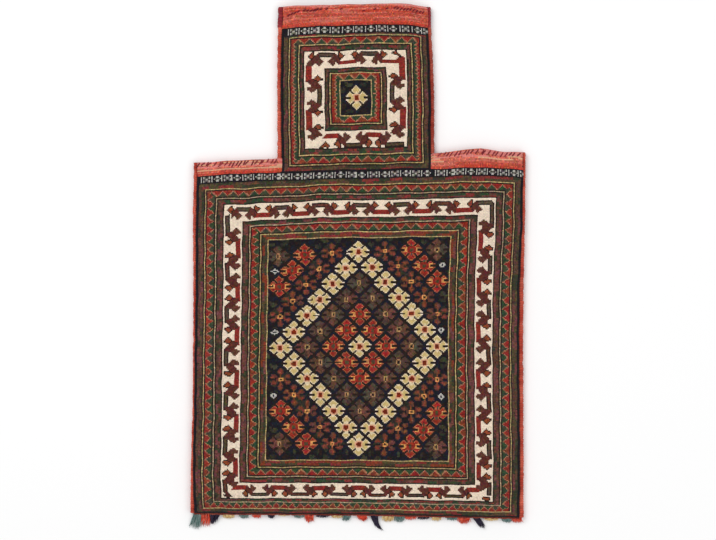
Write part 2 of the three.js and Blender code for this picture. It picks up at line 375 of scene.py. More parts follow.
    def glyph_band(self, first_row: int, height: int, bars: Sequence[float]) -> None:
        """Knot the pale band of bars, crossed boxes and hatched diamonds.

        Args:
            first_row: Lowest row of the glyphs.
            height: Height of the glyphs in rows.
            bars: Columns of the bars, which have a box and a diamond after them in turn.
        """
        inside = (self.y > first_row) & (self.y < first_row + height)
        half = height / 2.0
        rise = np.abs(self.y - first_row - half)
        for number, bar in enumerate(bars):
            left = round(bar)
            self.paint(inside & (self.x > left) & (self.x < left + 1.0), Wool.CHALK)
            across = np.abs(self.x - left - 5.0)
            if number % 2 == 0:
                box = inside & (across < 3.0)
                self.paint(box & (np.abs(across - rise) < 0.9), Wool.LICHEN)
                self.paint(box & (across > 1.9) & (rise > half - 2.0), Wool.CHALK)
                self.paint(box & (across < 1.0) & (rise < 0.6), Wool.CHALK)
            elif number + 1 < len(bars):
                size = across / 3.1 + rise / (half + 0.2)
                self.paint(inside & (size < 1.0), Wool.LICHEN)
                self.paint(inside & (size < 1.0) & ((across < 0.6) | (rise < 0.6)), Wool.CHALK)
                self.paint(inside & (size < 0.5), Wool.DUSK)

    def flowers(
        self, area: np.ndarray, lattice: Lattice, kind: Callable[[np.ndarray, np.ndarray], np.ndarray]
    ) -> None:
        """Knot a lattice of six-petalled flowers in diamond cells.

        Args:
            area: Knots that the lattice may cover.
            lattice: Where the diamond cells lie.
            kind: Gives the ring that a cell's flower belongs to from its place in the lattice.
        """
        u, v = lattice.places(self.x, self.y)
        rising = np.round((u + v) / 2.0)
        falling = np.round((u - v) / 2.0)
        column = (rising + falling).astype(int)
        row = (rising - falling).astype(int)
        local_x = (u - column) * lattice.step[0]
        local_y = (v - row) * lattice.step[1]
        ring = kind(column, row)
        upright = np.abs(local_y) > 1.25 * np.abs(local_x) + 1.0
        petal = (local_x > 0) * 3 + (local_y > 0) * 5 + upright * 7 + column * 11 + row * 13
        for bloom in BLOOMS:
            bloom.knot(self, area & (ring == bloom.ring), local_x, local_y, petal)


@dataclass(frozen=True)
class Bloom:
    """One colouring of the six-petalled flower."""

    ring: int
    petals: tuple[Wool, ...]
    edge: Wool | None
    cup: tuple[Wool, Wool] | None
    stem: Wool
    vein: Wool
    eye: Wool
    eye_ring: Wool
    eye_size: Point
    ring_width: float = 1.0
    round_petals: bool = False
    ground: tuple[Wool, ...] = (Wool.SOOT,)
    reach: Point = (10.2, 9.8)
    corner: Point = (1.08, 8.0)
    notch: tuple[Point, Point] = ((2.0, 3.1), (5.2, 6.3))
    notch_size: Point = (1.3, 0.8)
    slot_from: float = 4.9
    slot_half: float = 0.95
    cup_from: float = 3.6
    cup_half: float = 2.0
    cup_tip: float = 6.9
    stem_size: Point = (1.7, 4.4)
    vein_size: Point = (0.6, 5.4)

    def knot(
        self, chart: WeaverChart, area: np.ndarray, x: np.ndarray, y: np.ndarray, petal: np.ndarray
    ) -> None:
        """Knot every flower of this colouring.

        Args:
            chart: The chart to work on.
            area: Knots of the cells with this flower.
            x: Distance to the right of the flower's middle in knots.
            y: Distance above the flower's middle in knots.
            petal: Number of the petal that each knot belongs to.
        """
        ax, ay = np.abs(x), np.abs(y)
        size = ax / self.reach[0] + ay / self.reach[1]
        chart.paint_mix(area, self.ground, petal // 2)
        chart.paint(area & (size > self.corner[0]) & (ay > self.corner[1]), Wool.INDIGO)
        if self.round_petals:
            shape = area & self.rounds(ax, ay)
        else:
            shape = area & (size < 1.0) & ~self.slots(ax, ay)
        chart.paint_mix(shape, self.petals, petal)
        if self.edge is not None:
            chart.paint(chart.rim(shape), self.edge)
        if self.cup is not None:
            cup = shape & (ay < self.cup_half) & (ax > self.cup_from)
            chart.paint(cup, self.cup[0])
            chart.paint(cup & (ax > self.cup_tip), self.cup[1])
        for (wide, tall), wool in ((self.stem_size, self.stem), (self.vein_size, self.vein)):
            chart.paint(shape & (ax < wide) & (ay < tall), wool)
        for grown, wool in ((self.ring_width, self.eye_ring), (0.0, self.eye)):
            wide, tall = self.eye_size[0] + grown, self.eye_size[1] + grown
            chart.paint(area & ((ax / wide) ** 3 + (ay / tall) ** 3 < 1.0), wool)

    def slots(self, ax: np.ndarray, ay: np.ndarray) -> np.ndarray:
        """Find the dark slots between the petals.

        Args:
            ax: Distance beside the flower's middle in knots.
            ay: Distance above or below the flower's middle in knots.

        Returns:
            Mask of the slots.
        """
        (x0, y0), (x1, y1) = self.notch
        dx, dy = x1 - x0, y1 - y0
        along = ((ax - x0) * dx + (ay - y0) * dy) / (dx * dx + dy * dy)
        across = np.abs((ax - x0) * dy - (ay - y0) * dx) / np.hypot(dx, dy)
        notch = (along > 0.0) & (along < self.notch_size[0]) & (across < self.notch_size[1])
        return notch | ((ay < self.slot_half) & (ax > self.slot_from))

    @staticmethod
    def rounds(ax: np.ndarray, ay: np.ndarray) -> np.ndarray:
        """Find six small round petals on thin arms."""
        upright = np.hypot(ax, (ay - 6.4) / 1.15) < 2.4
        beside = np.hypot((ax - 5.8) / 1.45, ay - 2.7) < 1.9
        return upright | beside | ((ax < 0.9) & (ay < 6.0)) | ((ay < 1.6) & (ax < 4.2))


BLOOMS: tuple[Bloom, ...] = (
    Bloom(
        ring=0, petals=(Wool.CREAM,), edge=Wool.MILK, cup=(Wool.CREAM, Wool.IVORY), stem=Wool.MILK,
        vein=Wool.MILK, eye=Wool.EMBER, eye_ring=Wool.SAND, eye_size=(1.9, 2.0)),
    Bloom(
        ring=1, petals=(Wool.FLAME, Wool.FLAME, Wool.CRIMSON), edge=Wool.BLUSH, cup=(Wool.HONEY, Wool.BLUSH),
        stem=Wool.BLUSH, vein=Wool.HAZEL, eye=Wool.OLIVE, eye_ring=Wool.FLAME, eye_size=(1.4, 1.6),
        ring_width=1.6),
    Bloom(
        ring=2, petals=(Wool.BARK, Wool.MAUVE, Wool.SAGE, Wool.BARK, Wool.UMBER), edge=None, cup=None,
        stem=Wool.UMBER, vein=Wool.UMBER, eye=Wool.SOOT, eye_ring=Wool.TAN, eye_size=(0.8, 1.3)),
    Bloom(
        ring=3, petals=(Wool.CORAL, Wool.COPPER, Wool.MAUVE, Wool.CORAL, Wool.RUST), edge=Wool.RUSSET,
        cup=None, stem=Wool.DUSK, vein=Wool.COPPER, eye=Wool.SOOT, eye_ring=Wool.HONEY,
        eye_size=(0.9, 0.9), round_petals=True,
        ground=(Wool.NIGHT, Wool.INDIGO, Wool.DUSK, Wool.NIGHT)),
    Bloom(
        ring=4, petals=(Wool.DUSK, Wool.MOSS, Wool.INDIGO, Wool.SOOT), edge=None, cup=None, stem=Wool.NIGHT,
        vein=Wool.NIGHT, eye=Wool.NIGHT, eye_ring=Wool.NIGHT, eye_size=(1.0, 1.0), round_petals=True,
        ground=(Wool.NIGHT,)),
)
IVORY_BLOOM, FLAME_BLOOM, BARK_BLOOM, CORAL_BLOOM, DUSK_BLOOM = (bloom.ring for bloom in BLOOMS)


@dataclass(frozen=True)
class HookedBorder:
    """The hooked meander of an ivory border, in knots along and across from the middle of the band."""

    notch: Point
    beak: tuple[Point, ...]
    shoulder: Point
    bar_end: float
    outer_bar: Point
    inner_bar: Point
    dark_outer: bool = True

    def stretched(self, along: float, across: float = 1.0) -> "HookedBorder":
        """Give the same meander with its crossings longer or shorter."""
        notch, shoulder, *beak = (
            (x * along, y * across) for x, y in (self.notch, self.shoulder, *self.beak))
        return replace(self, notch=notch, beak=tuple(beak), shoulder=shoulder, bar_end=self.bar_end * along)

    def crossing(
        self, chart: WeaverChart, place: Place, at: float, falling: bool
    ) -> tuple[np.ndarray, np.ndarray, np.ndarray]:
        """Find the knots of one crossing with its two arrowheads.

        Args:
            chart: The chart to work on.
            place: Turns a distance along and across the band into knots.
            at: Distance of the crossing along the band.
            falling: Whether the strap runs from the outer bar to the inner one.

        Returns:
            Masks of the whole crossing, of its dark-edged arrowhead and of its plain one.
        """
        flip = 1.0 if falling else -1.0
        head = [*((x, -y) for x, y in (self.notch, *self.beak)), self.shoulder]
        turned = [(-x, -y) for x, y in head]
        strap = [(-self.bar_end, -self.outer_bar[1]), *head, (self.bar_end, self.inner_bar[1]), *turned]
        masks = [
            chart.polygon([place(at + flip * x, y) for x, y in points]) for points in (strap, head, turned)
        ]
        return masks[0], masks[1 if self.dark_outer else 2], masks[2 if self.dark_outer else 1]

    def bar_mask(
        self, chart: WeaverChart, place: Place, first: float, last: float, outer: bool
    ) -> np.ndarray:
        """Find the knots of a bar between two distances along the band."""
        near, far = (-self.outer_bar[0], -self.outer_bar[1]) if outer else self.inner_bar
        return chart.polygon([place(first, near), place(last, near), place(last, far), place(first, far)])

    def run(
        self, chart: WeaverChart, place: Place, crossings: Sequence[float], outer_first: bool,
        ends: np.ndarray,
    ) -> None:
        """Knot a straight stretch of the meander.

        Args:
            chart: The chart to work on.
            place: Turns a distance along and across the band into knots.
            crossings: Distances of the crossings along the band.
            outer_first: Whether the first bar lies on the outer side.
            ends: Knots of the dark-edged pieces at its ends, which are in place.
        """
        whole, edged = ends.copy(), ends.copy()
        cores = (Wool.HAZEL, Wool.OLIVE, Wool.HAZEL, Wool.RUSSET)
        for number, (start, stop) in enumerate(zip(crossings, crossings[1:])):
            outer = (number % 2 == 0) == outer_first
            bar = self.bar_mask(chart, place, start + 0.5 * self.bar_end, stop - 0.5 * self.bar_end, outer)
            whole |= bar
            if outer == self.dark_outer:
                edged |= bar
                chart.paint(bar, cores[(number // 2 + round(start)) % len(cores)])
            else:
                chart.paint(bar, Wool.GARNET)
        for number, at in enumerate(crossings):
            strap, dark_head, plain_head = self.crossing(chart, place, at, (number % 2 == 0) != outer_first)
            chart.paint(strap, Wool.MAHOGANY)
            chart.paint(plain_head & strap, Wool.RUSSET)
            chart.outlined(dark_head & strap, Wool.SIENNA)
            whole |= strap
        chart.paint(chart.rim(whole) & edged, Wool.SOOT)


FLAT_HOOKS = HookedBorder(
    notch=(0.65, 2.9), beak=((1.5, 5.7), (2.7, 5.9), (6.6, 2.6)), shoulder=(3.1, 1.4), bar_end=2.2,
    outer_bar=(1.45, 5.1), inner_bar=(1.45, 5.1))
UPRIGHT_HOOKS = HookedBorder(
    notch=(1.9, 2.6), beak=((3.1, 6.4), (4.9, 6.5), (8.2, 2.3)), shoulder=(4.9, 1.5), bar_end=3.0,
    outer_bar=(2.5, 6.4), inner_bar=(2.6, 6.3))


class BodyChart(WeaverChart):
    """Chart of the wide body."""

    LAYERS: tuple[FrameLayer, ...] = (
        FrameLayer(Wool.NIGHT, 2, 0, 1),
        FrameLayer(Wool.UMBER, 4, 4, 3, Weave.LONG_DASHES),
        FrameLayer(Wool.SOOT, 1, 0, 0),
        FrameLayer(Wool.STRAW, 1, 1, 1),
        FrameLayer(Wool.SOOT, 1, 1, 0),
        FrameLayer(Wool.PINE, 6, 5, 5, Weave.ZIGZAG),
        FrameLayer(Wool.SOOT, 1, 1, 0),
        FrameLayer(Wool.FLAX, 1, 1, 1),
        FrameLayer(Wool.SOOT, 1, 1, 0),
        FrameLayer(Wool.CHESTNUT, 4, 3, 2, Weave.DASHES),
        FrameLayer(Wool.SOOT, 1, 1, 1),
        FrameLayer(Wool.IVORY, 15, 14, 13),
        FrameLayer(Wool.SOOT, 1, 1, 1),
        FrameLayer(Wool.CHESTNUT, 4, 3, 3, Weave.DASHES),
        FrameLayer(Wool.SOOT, 1, 0, 1),
        FrameLayer(Wool.FLAX, 1, 1, 1),
        FrameLayer(Wool.SOOT, 1, 1, 1),
        FrameLayer(Wool.PINE, 6, 5, 5, Weave.ZIGZAG),
        FrameLayer(Wool.SOOT, 1, 1, 1),
        FrameLayer(Wool.STRAW, 1, 1, 1),
        FrameLayer(Wool.SOOT, 1, 0, 1),
        FrameLayer(Wool.RUST, 4, 4, 4, Weave.WARM_DASHES),
        FrameLayer(Wool.STRAW, 1, 1, 1),
    )
    PITCHES = (
        ZigzagPitch((7.25, 14.2), (7.4, 11.9), (6.4, 16.3), (8.65, 17.1)),
        ZigzagPitch((7.2, 41.4), (7.55, 40.7), (8.15, 55.4), (8.5, 53.6)),
    )
    GLYPH_ROWS = 5
    GLYPH_BARS = (
        2.9, 19.5, 36.7, 52.6, 68.2, 85.4, 102.3, 119.5, 136.9, 153.8, 171.3, 191.3, 206.2, 224.1, 242.0,
        259.2)
    FLOWERS = Lattice(
        centre=(133.8, 143.2), step=(10.42, 13.56), lean_x=(-0.14, 0.019, -0.04, -0.021),
        lean_y=(0.064, 0.043, -0.047, -0.014))
    DIAMOND_ROWS = (5, 1, -3)
    DIAMOND_INSET = 5.0
    DIAMOND_SQUASH = 1.35
    DIAMOND_RINGS = ((5.0, Wool.NIGHT), (3.4, Wool.CHALK), (1.3, Wool.INDIGO))
    IVORY_LAYER = 11
    FOOT_ROW = 18.6
    TOP_CROSSINGS = (31.6, 46.1, 62.8, 76.7, 93.4, 108.2, 125.2, 140.5, 157.4, 172.4, 190.1, 205.3, 223.1)
    BOTTOM_CROSSINGS = (45.9, 63.1, 77.7, 94.8, 109.6, 126.2, 140.1, 156.0, 169.9, 186.2, 200.1, 217.9)
    LEFT_CROSSINGS = (30.8, 49.3, 68.7, 87.6, 106.1, 125.5, 144.0, 163.0, 181.0, 199.2, 217.3, 239.1)
    RIGHT_CROSSINGS = (29.6, 47.6, 66.6, 86.1, 105.4, 125.1, 144.9, 164.7, 183.2, 201.7, 220.3, 241.3)

    def weave(self) -> None:
        """Knot the whole chart."""
        top_row = self.rows - self.GLYPH_ROWS - 2
        area = self.frames(self.LAYERS, self.PITCHES, top_row)
        bars = [at for bar in self.GLYPH_BARS for at in (bar, bar + 8.9)]
        self.glyph_band(top_row + 1, self.GLYPH_ROWS, bars[:-1])
        self.flowers(area, self.FLOWERS, self.ring)
        self.edge_diamonds(area)
        self.meander(top_row)

    @staticmethod
    def ring(column: np.ndarray, row: np.ndarray) -> np.ndarray:
        """Choose the flower of each cell by its distance from the middle of the lattice."""
        rings = np.array([
            IVORY_BLOOM, FLAME_BLOOM, BARK_BLOOM, IVORY_BLOOM, CORAL_BLOOM, FLAME_BLOOM, BARK_BLOOM])
        last = len(rings) - 1
        distance = (np.abs(column) + np.abs(row)) // 2
        outside = (np.abs(column) > last) | (np.abs(row) > last)
        return np.where(outside, DUSK_BLOOM, rings[np.minimum(distance, last)])

    def edge_diamonds(self, area: np.ndarray) -> None:
        """Knot the small white diamonds at the sides of the field."""
        columns = self.x[area]
        _, v = self.FLOWERS.places(self.x, self.y)
        middles = columns.min() + self.DIAMOND_INSET, columns.max() - self.DIAMOND_INSET
        for row in self.DIAMOND_ROWS:
            rise = np.abs(v - row) * self.FLOWERS.step[1] * self.DIAMOND_SQUASH
            for middle in middles:
                size = np.abs(self.x - middle) + rise
                for limit, wool in self.DIAMOND_RINGS:
                    self.paint(area & (size < limit), wool)

    def meander(self, top_row: int) -> None:
        """Knot the hooked meander round the ivory border, with its four corners."""
        left, right, bottom, top = self.band_middles(self.LAYERS, self.IVORY_LAYER, top_row)
        low = replace(FLAT_HOOKS.stretched(0.95, 0.97), outer_bar=(1.45, 4.75), inner_bar=(0.95, 4.75))
        near, far = UPRIGHT_HOOKS.outer_bar
        end = UPRIGHT_HOOKS.bar_end - 2.0
        last = self.LEFT_CROSSINGS[-1] + end
        left_end = self.polygon([
            (left - far, last), (left - near, last), (left - near, top - 1.0), (left - far, top - 2.6)])
        last = self.RIGHT_CROSSINGS[-1] + end
        start = self.TOP_CROSSINGS[-1] + 0.5 * FLAT_HOOKS.bar_end
        inner, outmost = (top + at for at in FLAT_HOOKS.outer_bar)
        corner = self.polygon([
            (start, outmost), (right + far - 2.8, outmost), (right + far, outmost - 3.0), (right + far, last),
            (right + near, last), (right + near, inner), (start, inner),
        ])
        first = self.LEFT_CROSSINGS[0] - end
        feet = [
            self.polygon([(near_x, first), (far_x, first), (far_x, self.FOOT_ROW), (near_x, self.FOOT_ROW)])
            for near_x, far_x in ((left - near, left - far), (right + near, right + far))
        ]
        hook = self.polygon([
            (left - far, 19.6), (left - near, 20.0), (left + 1.6, 15.4), (left - 1.2, 14.3),
            (left - 3.2, 14.2), (left - 7.0, 16.3), (left - 3.9, 17.4),
        ])
        flag = self.polygon([
            (right - 2.4, 15.8), (right + 1.2, 18.4), (right + 3.0, 17.8), (right + 6.4, 17.4),
            (right + 4.5, 14.5), (right + 1.2, 14.0),
        ])
        for mask, core in (
            (left_end, Wool.HAZEL), (corner, Wool.HAZEL), (feet[0], Wool.RUSSET), (feet[1], Wool.HAZEL),
            (hook, Wool.MAHOGANY), (flag, Wool.SIENNA),
        ):
            self.paint(mask, core)
        near, far = (bottom + at for at in low.inner_bar)
        stop, start = self.BOTTOM_CROSSINGS[0] - low.bar_end, self.BOTTOM_CROSSINGS[-1] + low.bar_end
        self.patch(
            [(left, near), (left + 2.8, far - 0.9), (left + 7.5, far), (stop, far), (stop, near)],
            Wool.GARNET)
        self.patch(
            [(start, far), (right - 4.5, far), (right - 1.2, near + 1.0), (right - 4.0, near), (start, near)],
            Wool.GARNET)
        none = np.zeros(self.cells.shape, dtype=bool)
        left_ends, right_ends = left_end | feet[0] | hook, corner | feet[1] | flag
        low.run(self, lambda p, q: (p, bottom + q), self.BOTTOM_CROSSINGS, True, none)
        UPRIGHT_HOOKS.run(self, lambda p, q: (left + q, p), self.LEFT_CROSSINGS, False, left_ends)
        UPRIGHT_HOOKS.run(self, lambda p, q: (right - q, p), self.RIGHT_CROSSINGS, False, right_ends)
        FLAT_HOOKS.run(self, lambda p, q: (p, top - q), self.TOP_CROSSINGS, True, none)


class NeckChart(WeaverChart):
    """Chart of the narrow neck."""

    LAYERS: tuple[FrameLayer, ...] = (
        FrameLayer(Wool.NIGHT, 2, 0, 1),
        FrameLayer(Wool.UMBER, 3, 1, 3, Weave.LONG_DASHES),
        FrameLayer(Wool.SOOT, 1, 0, 1),
        FrameLayer(Wool.STRAW, 1, 1, 1),
        FrameLayer(Wool.SOOT, 1, 1, 1),
        FrameLayer(Wool.PINE, 5, 5, 5, Weave.ZIGZAG),
        FrameLayer(Wool.SOOT, 1, 0, 1),
        FrameLayer(Wool.STRAW, 1, 1, 1),
        FrameLayer(Wool.SOOT, 1, 1, 0),
        FrameLayer(Wool.CHESTNUT, 2, 3, 4, Weave.DASHES),
        FrameLayer(Wool.SOOT, 1, 1, 1),
        FrameLayer(Wool.IVORY, 16, 14, 14),
        FrameLayer(Wool.SOOT, 1, 1, 1),
        FrameLayer(Wool.CHESTNUT, 2, 2, 3, Weave.DASHES),
        FrameLayer(Wool.SOOT, 1, 1, 1),
        FrameLayer(Wool.STRAW, 1, 1, 1),
        FrameLayer(Wool.SOOT, 1, 0, 1),
        FrameLayer(Wool.PINE, 6, 5, 5, Weave.ZIGZAG),
        FrameLayer(Wool.STRAW, 1, 1, 1),
    )
    PITCHES = (
        ZigzagPitch((3.1, 14.0), (3.1, 14.0), (8.8, 16.3), (9.3, 18.4), 0.34),
        ZigzagPitch((3.3, 47.0), (3.3, 47.0), (9.7, 55.0), (9.0, 50.2), 0.34),
    )
    GLYPH_ROWS = 5
    GLYPH_BARS = (5.3, 13.9, 22.5, 30.5, 39.3, 49.4, 58.5, 67.6, 76.7, 86.0, 96.5, 105.6, 114.4)
    IVORY_LAYER = 11
    SHIFTS = (0.1, -0.1, -0.9, 0.8)
    TOP_CROSSINGS = (28.4, 44.9, 62.6, 79.1)
    BOTTOM_CROSSINGS = (48.9, 66.4, 81.5)
    LEFT_CROSSINGS = (32.2, 52.6, 72.4)
    RIGHT_CROSSINGS = (33.0, 53.5, 73.2)

    def weave(self) -> None:
        """Knot the whole chart."""
        top_row = self.rows - self.GLYPH_ROWS - 2
        area = self.frames(self.LAYERS, self.PITCHES, top_row)
        self.paint(area, Wool.NIGHT)
        self.glyph_band(top_row + 1, self.GLYPH_ROWS, self.GLYPH_BARS)
        middle = (float(self.x[area].mean()) + 0.6, float(self.y[area].mean()))
        self.flowers(area, Lattice(middle, (11.2, 13.2)), self.single)
        self.meander(top_row)

    @staticmethod
    def single(column: np.ndarray, row: np.ndarray) -> np.ndarray:
        """Keep the central flower alone."""
        return np.where((column == 0) & (row == 0), IVORY_BLOOM, DUSK_BLOOM)

    def meander(self, top_row: int) -> None:
        """Knot the hooked meander round the ivory border, with its loose ends."""
        left, right, bottom, top = (
            line + shift
            for line, shift in zip(self.band_middles(self.LAYERS, self.IVORY_LAYER, top_row), self.SHIFTS))
        upright = replace(
            UPRIGHT_HOOKS.stretched(0.88), outer_bar=(2.4, 6.9), inner_bar=(2.3, 6.2), dark_outer=False)
        high = FLAT_HOOKS.stretched(1.02)
        low = replace(FLAT_HOOKS.stretched(1.1, 1.14), outer_bar=(1.6, 5.6), inner_bar=(1.6, 5.6))
        near, far = upright.outer_bar
        last = self.LEFT_CROSSINGS[-1] + 0.5 * upright.bar_end
        head = self.TOP_CROSSINGS[0]
        self.patch([
            (head - 0.6, top - 1.2), (head - 4.4, top + 0.4), (left - far, top - 5.0),
            (left - far, top - 7.6), (left - near, top - 7.0),
        ], Wool.RUSSET)
        self.patch(
            [(left - far, last), (left - near, last), (left - near, top - 6.0), (left - far, top - 5.6)],
            Wool.GARNET)
        start = self.TOP_CROSSINGS[-1] + high.bar_end
        inner, outmost = (top - at for at in high.inner_bar)
        self.patch([
            (start, outmost), (right + near - 0.5, outmost), (right + near, last), (right + far, last),
            (right + far, top + 0.5), (right + 3.0, top + 1.5), (right, inner), (start, inner),
        ], Wool.GARNET)
        self.outlined(self.polygon([
            (right - 4.5, top + 3.6), (right + 0.8, top + 6.4), (right + 2.0, top + 3.6),
            (right + 5.5, top + 1.0), (right + 2.8, top - 0.4), (right + 0.1, top + 2.2),
        ]), Wool.SIENNA)
        near, far = (bottom + at for at in low.inner_bar)
        stop = self.BOTTOM_CROSSINGS[0] - low.bar_end
        self.patch([(left + 5.6, near), (left + 8.8, far), (stop, far), (stop, near)], Wool.GARNET)
        start = self.BOTTOM_CROSSINGS[-1] + low.bar_end
        tail = low.bar_mask(self, lambda p, q: (p, bottom + q), start - 1.4, right + 6.2, True)
        self.paint(tail, Wool.OLIVE)
        self.outlined(self.polygon([
            (left + 8.4, bottom - 0.2), (left + 12.4, bottom - 4.1), (left + 9.6, bottom - 6.8),
            (left + 7.6, bottom - 4.7), (left + 6.0, bottom - 6.0), (left + 1.9, bottom - 6.4),
            (left + 5.2, bottom - 3.5),
        ]), Wool.SIENNA)
        none = np.zeros(self.cells.shape, dtype=bool)
        high.run(self, lambda p, q: (p, top - q), self.TOP_CROSSINGS, True, none)
        low.run(self, lambda p, q: (p, bottom + q), self.BOTTOM_CROSSINGS, True, tail)
        upright.run(self, lambda p, q: (left + q, p), self.LEFT_CROSSINGS, True, none)
        upright.run(self, lambda p, q: (right - q, p), self.RIGHT_CROSSINGS, True, none)


def to_linear(colour: np.ndarray) -> np.ndarray:
    """Turn sRGB values from 0 to 1 into linear ones."""
    return np.where(colour <= 0.04045, colour / 12.92, ((colour + 0.055) / 1.055) ** 2.4)


def ease(share: np.ndarray) -> np.ndarray:
    """Smooth a share from 0 to 1 at both ends."""
    held = np.clip(share, 0.0, 1.0)
    return held * held * (3.0 - 2.0 * held)


def blend(start: np.ndarray, stop: np.ndarray, share: np.ndarray) -> np.ndarray:
    """Go from one value to another by a share."""
    return start + (stop - start) * share


@dataclass(frozen=True)
class Sway:
    """How far an edge strays from its straight line, in millimetres, by the share of its length."""

    shares: tuple[float, ...]
    strays: tuple[float, ...]

    def at(self, share: np.ndarray) -> np.ndarray:
        """Stray in metres at a share of the length."""
        return np.interp(share, self.shares, self.strays) * MM


@dataclass(frozen=True)
class BagForm:
    """The lie of the bag on the floor: its woven edges and the stand-off of its front."""

    columns: int = 264
    body_rows: int = 292
    band_rows: int = 12
    neck_from: int = 68
    neck_to: int = 188
    neck_rows: int = 120
    mouth_rows: int = 20
    left_sway: Sway = Sway(
        (0.0, 0.03, 0.13, 0.31, 0.48, 0.66, 0.83, 1.0), (-3.6, -4.0, -5.1, -3.6, -3.0, -1.8, -1.9, -0.4))
    right_sway: Sway = Sway(
        (0.0, 0.13, 0.31, 0.48, 0.66, 0.74, 0.83, 0.95, 1.0), (1.1, 1.8, 1.3, 0.7, 1.3, 2.7, 4.5, 5.1, 5.4))
    column_sway: Sway = Sway(
        (0.0, 0.087, 0.144, 0.227, 0.5, 0.773, 0.856, 0.913, 1.0),
        (0.0, 0.0, -0.3, -1.0, 0.7, 2.3, 1.9, 1.0, 0.0))
    bottom_sway: Sway = Sway((0.0, 0.5, 1.0), (0.5, -0.6, -4.4))
    band_height: float = 371.6
    band_sway: Sway = Sway(
        (0.0, 0.118, 0.194, 0.27, 0.38, 0.47, 0.56, 0.65, 0.745, 0.806, 0.867, 0.943, 1.0),
        (-4.6, -1.7, -0.6, -0.7, 0.9, 1.5, 2.1, 3.2, 3.6, 4.75, 5.3, 4.2, 2.4))
    frame_rows: Sway = Sway((228.0, 238.0, 250.0, 281.0, 286.0), (0.0, 1.1, 1.1, 0.9, 0.0))
    frame_sway: Sway = Sway(
        (0.0, 0.084, 0.16, 0.24, 0.317, 0.394, 0.47, 0.55, 0.7, 1.0),
        (-1.0, -1.5, -2.6, -1.0, -0.7, 0.0, -0.1, -0.8, -0.5, -0.6))
    left_shoulder_sway: Sway = Sway((0.0, 1.0), (-2.3, 2.4))
    right_shoulder_sway: Sway = Sway(
        (0.0, 0.135, 0.29, 0.4, 0.52, 0.69, 0.8, 1.0), (-2.3, -1.05, 0.55, 2.2, 2.95, 1.1, -0.5, -1.1))
    neck_left_sway: Sway = Sway((0.0, 0.19, 0.43, 0.67, 0.86, 1.0), (-0.45, -1.0, -1.75, -1.5, -0.45, 1.0))
    neck_right_sway: Sway = Sway((0.0, 0.19, 0.43, 0.67, 0.86, 1.0), (2.6, 2.3, 2.6, 1.0, -0.4, -0.6))
    neck_top_sway: Sway = Sway(
        (0.0, 0.2, 0.4, 0.53, 0.8, 0.92, 1.0), (-25.5, -24.1, -23.3, -22.1, -21.9, -22.8, -24.4))
    mouth_sway: Sway = Sway(
        (0.0, 0.12, 0.4, 0.6, 0.74, 0.88, 1.0), (-1.7, -1.2, -0.65, 0.45, 1.0, -0.1, -1.7))
    wobble: float = 0.22
    edge_height: float = 8.3
    stand_off: float = 9.6
    slope: float = 22.0
    swell: float = 0.5

    @property
    def rows(self) -> int:
        """Rows of knots from the bottom edge to the mouth."""
        return self.body_rows + self.neck_rows + self.mouth_rows

    @property
    def shoulder_row(self) -> int:
        """Row where the shoulders end."""
        return self.body_rows + self.band_rows

    def left(self, share: np.ndarray) -> np.ndarray:
        """Left edge of the body weave, from the bottom up."""
        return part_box("front_panel")[0].x + self.left_sway.at(share)

    def right(self, share: np.ndarray) -> np.ndarray:
        """Right edge of the body weave, from the bottom up."""
        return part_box("front_panel")[1].x + self.right_sway.at(share)

    def bottom(self, share: np.ndarray) -> np.ndarray:
        """Bottom edge of the weave, from left to right."""
        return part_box("front_panel")[0].y + self.bottom_sway.at(share)

    def band(self, share: np.ndarray) -> np.ndarray:
        """Line where the patterned body ends, from left to right."""
        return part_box("front_panel")[0].y + self.band_height * MM + self.band_sway.at(share)

    def shoulder(self, share: np.ndarray) -> np.ndarray:
        """Top edges of the two shoulders by the share of the body's width."""
        neck_left, neck_right = self.neck_from / self.columns, self.neck_to / self.columns
        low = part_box("body_binding_left")[1].y + self.left_shoulder_sway.at(share / neck_left)
        along = (share - neck_right) / (1.0 - neck_right)
        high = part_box("body_binding_right")[1].y + self.right_shoulder_sway.at(along)
        return np.where(share < 0.5, low, high)

    def neck_left(self, share: np.ndarray) -> np.ndarray:
        """Left edge of the neck weave, from the body up."""
        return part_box("neck_binding_left")[1].x + self.neck_left_sway.at(share)

    def neck_right(self, share: np.ndarray) -> np.ndarray:
        """Right edge of the neck weave, from the body up."""
        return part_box("neck_binding_right")[0].x + self.neck_right_sway.at(share)

    def mouth(self, share: np.ndarray) -> np.ndarray:
        """Edge of the mouth, from left to right."""
        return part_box("front_panel")[1].y + self.mouth_sway.at(share)

    def neck_top(self, share: np.ndarray) -> np.ndarray:
        """Line where the patterned neck ends, from left to right."""
        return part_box("front_panel")[1].y + self.neck_top_sway.at(share)

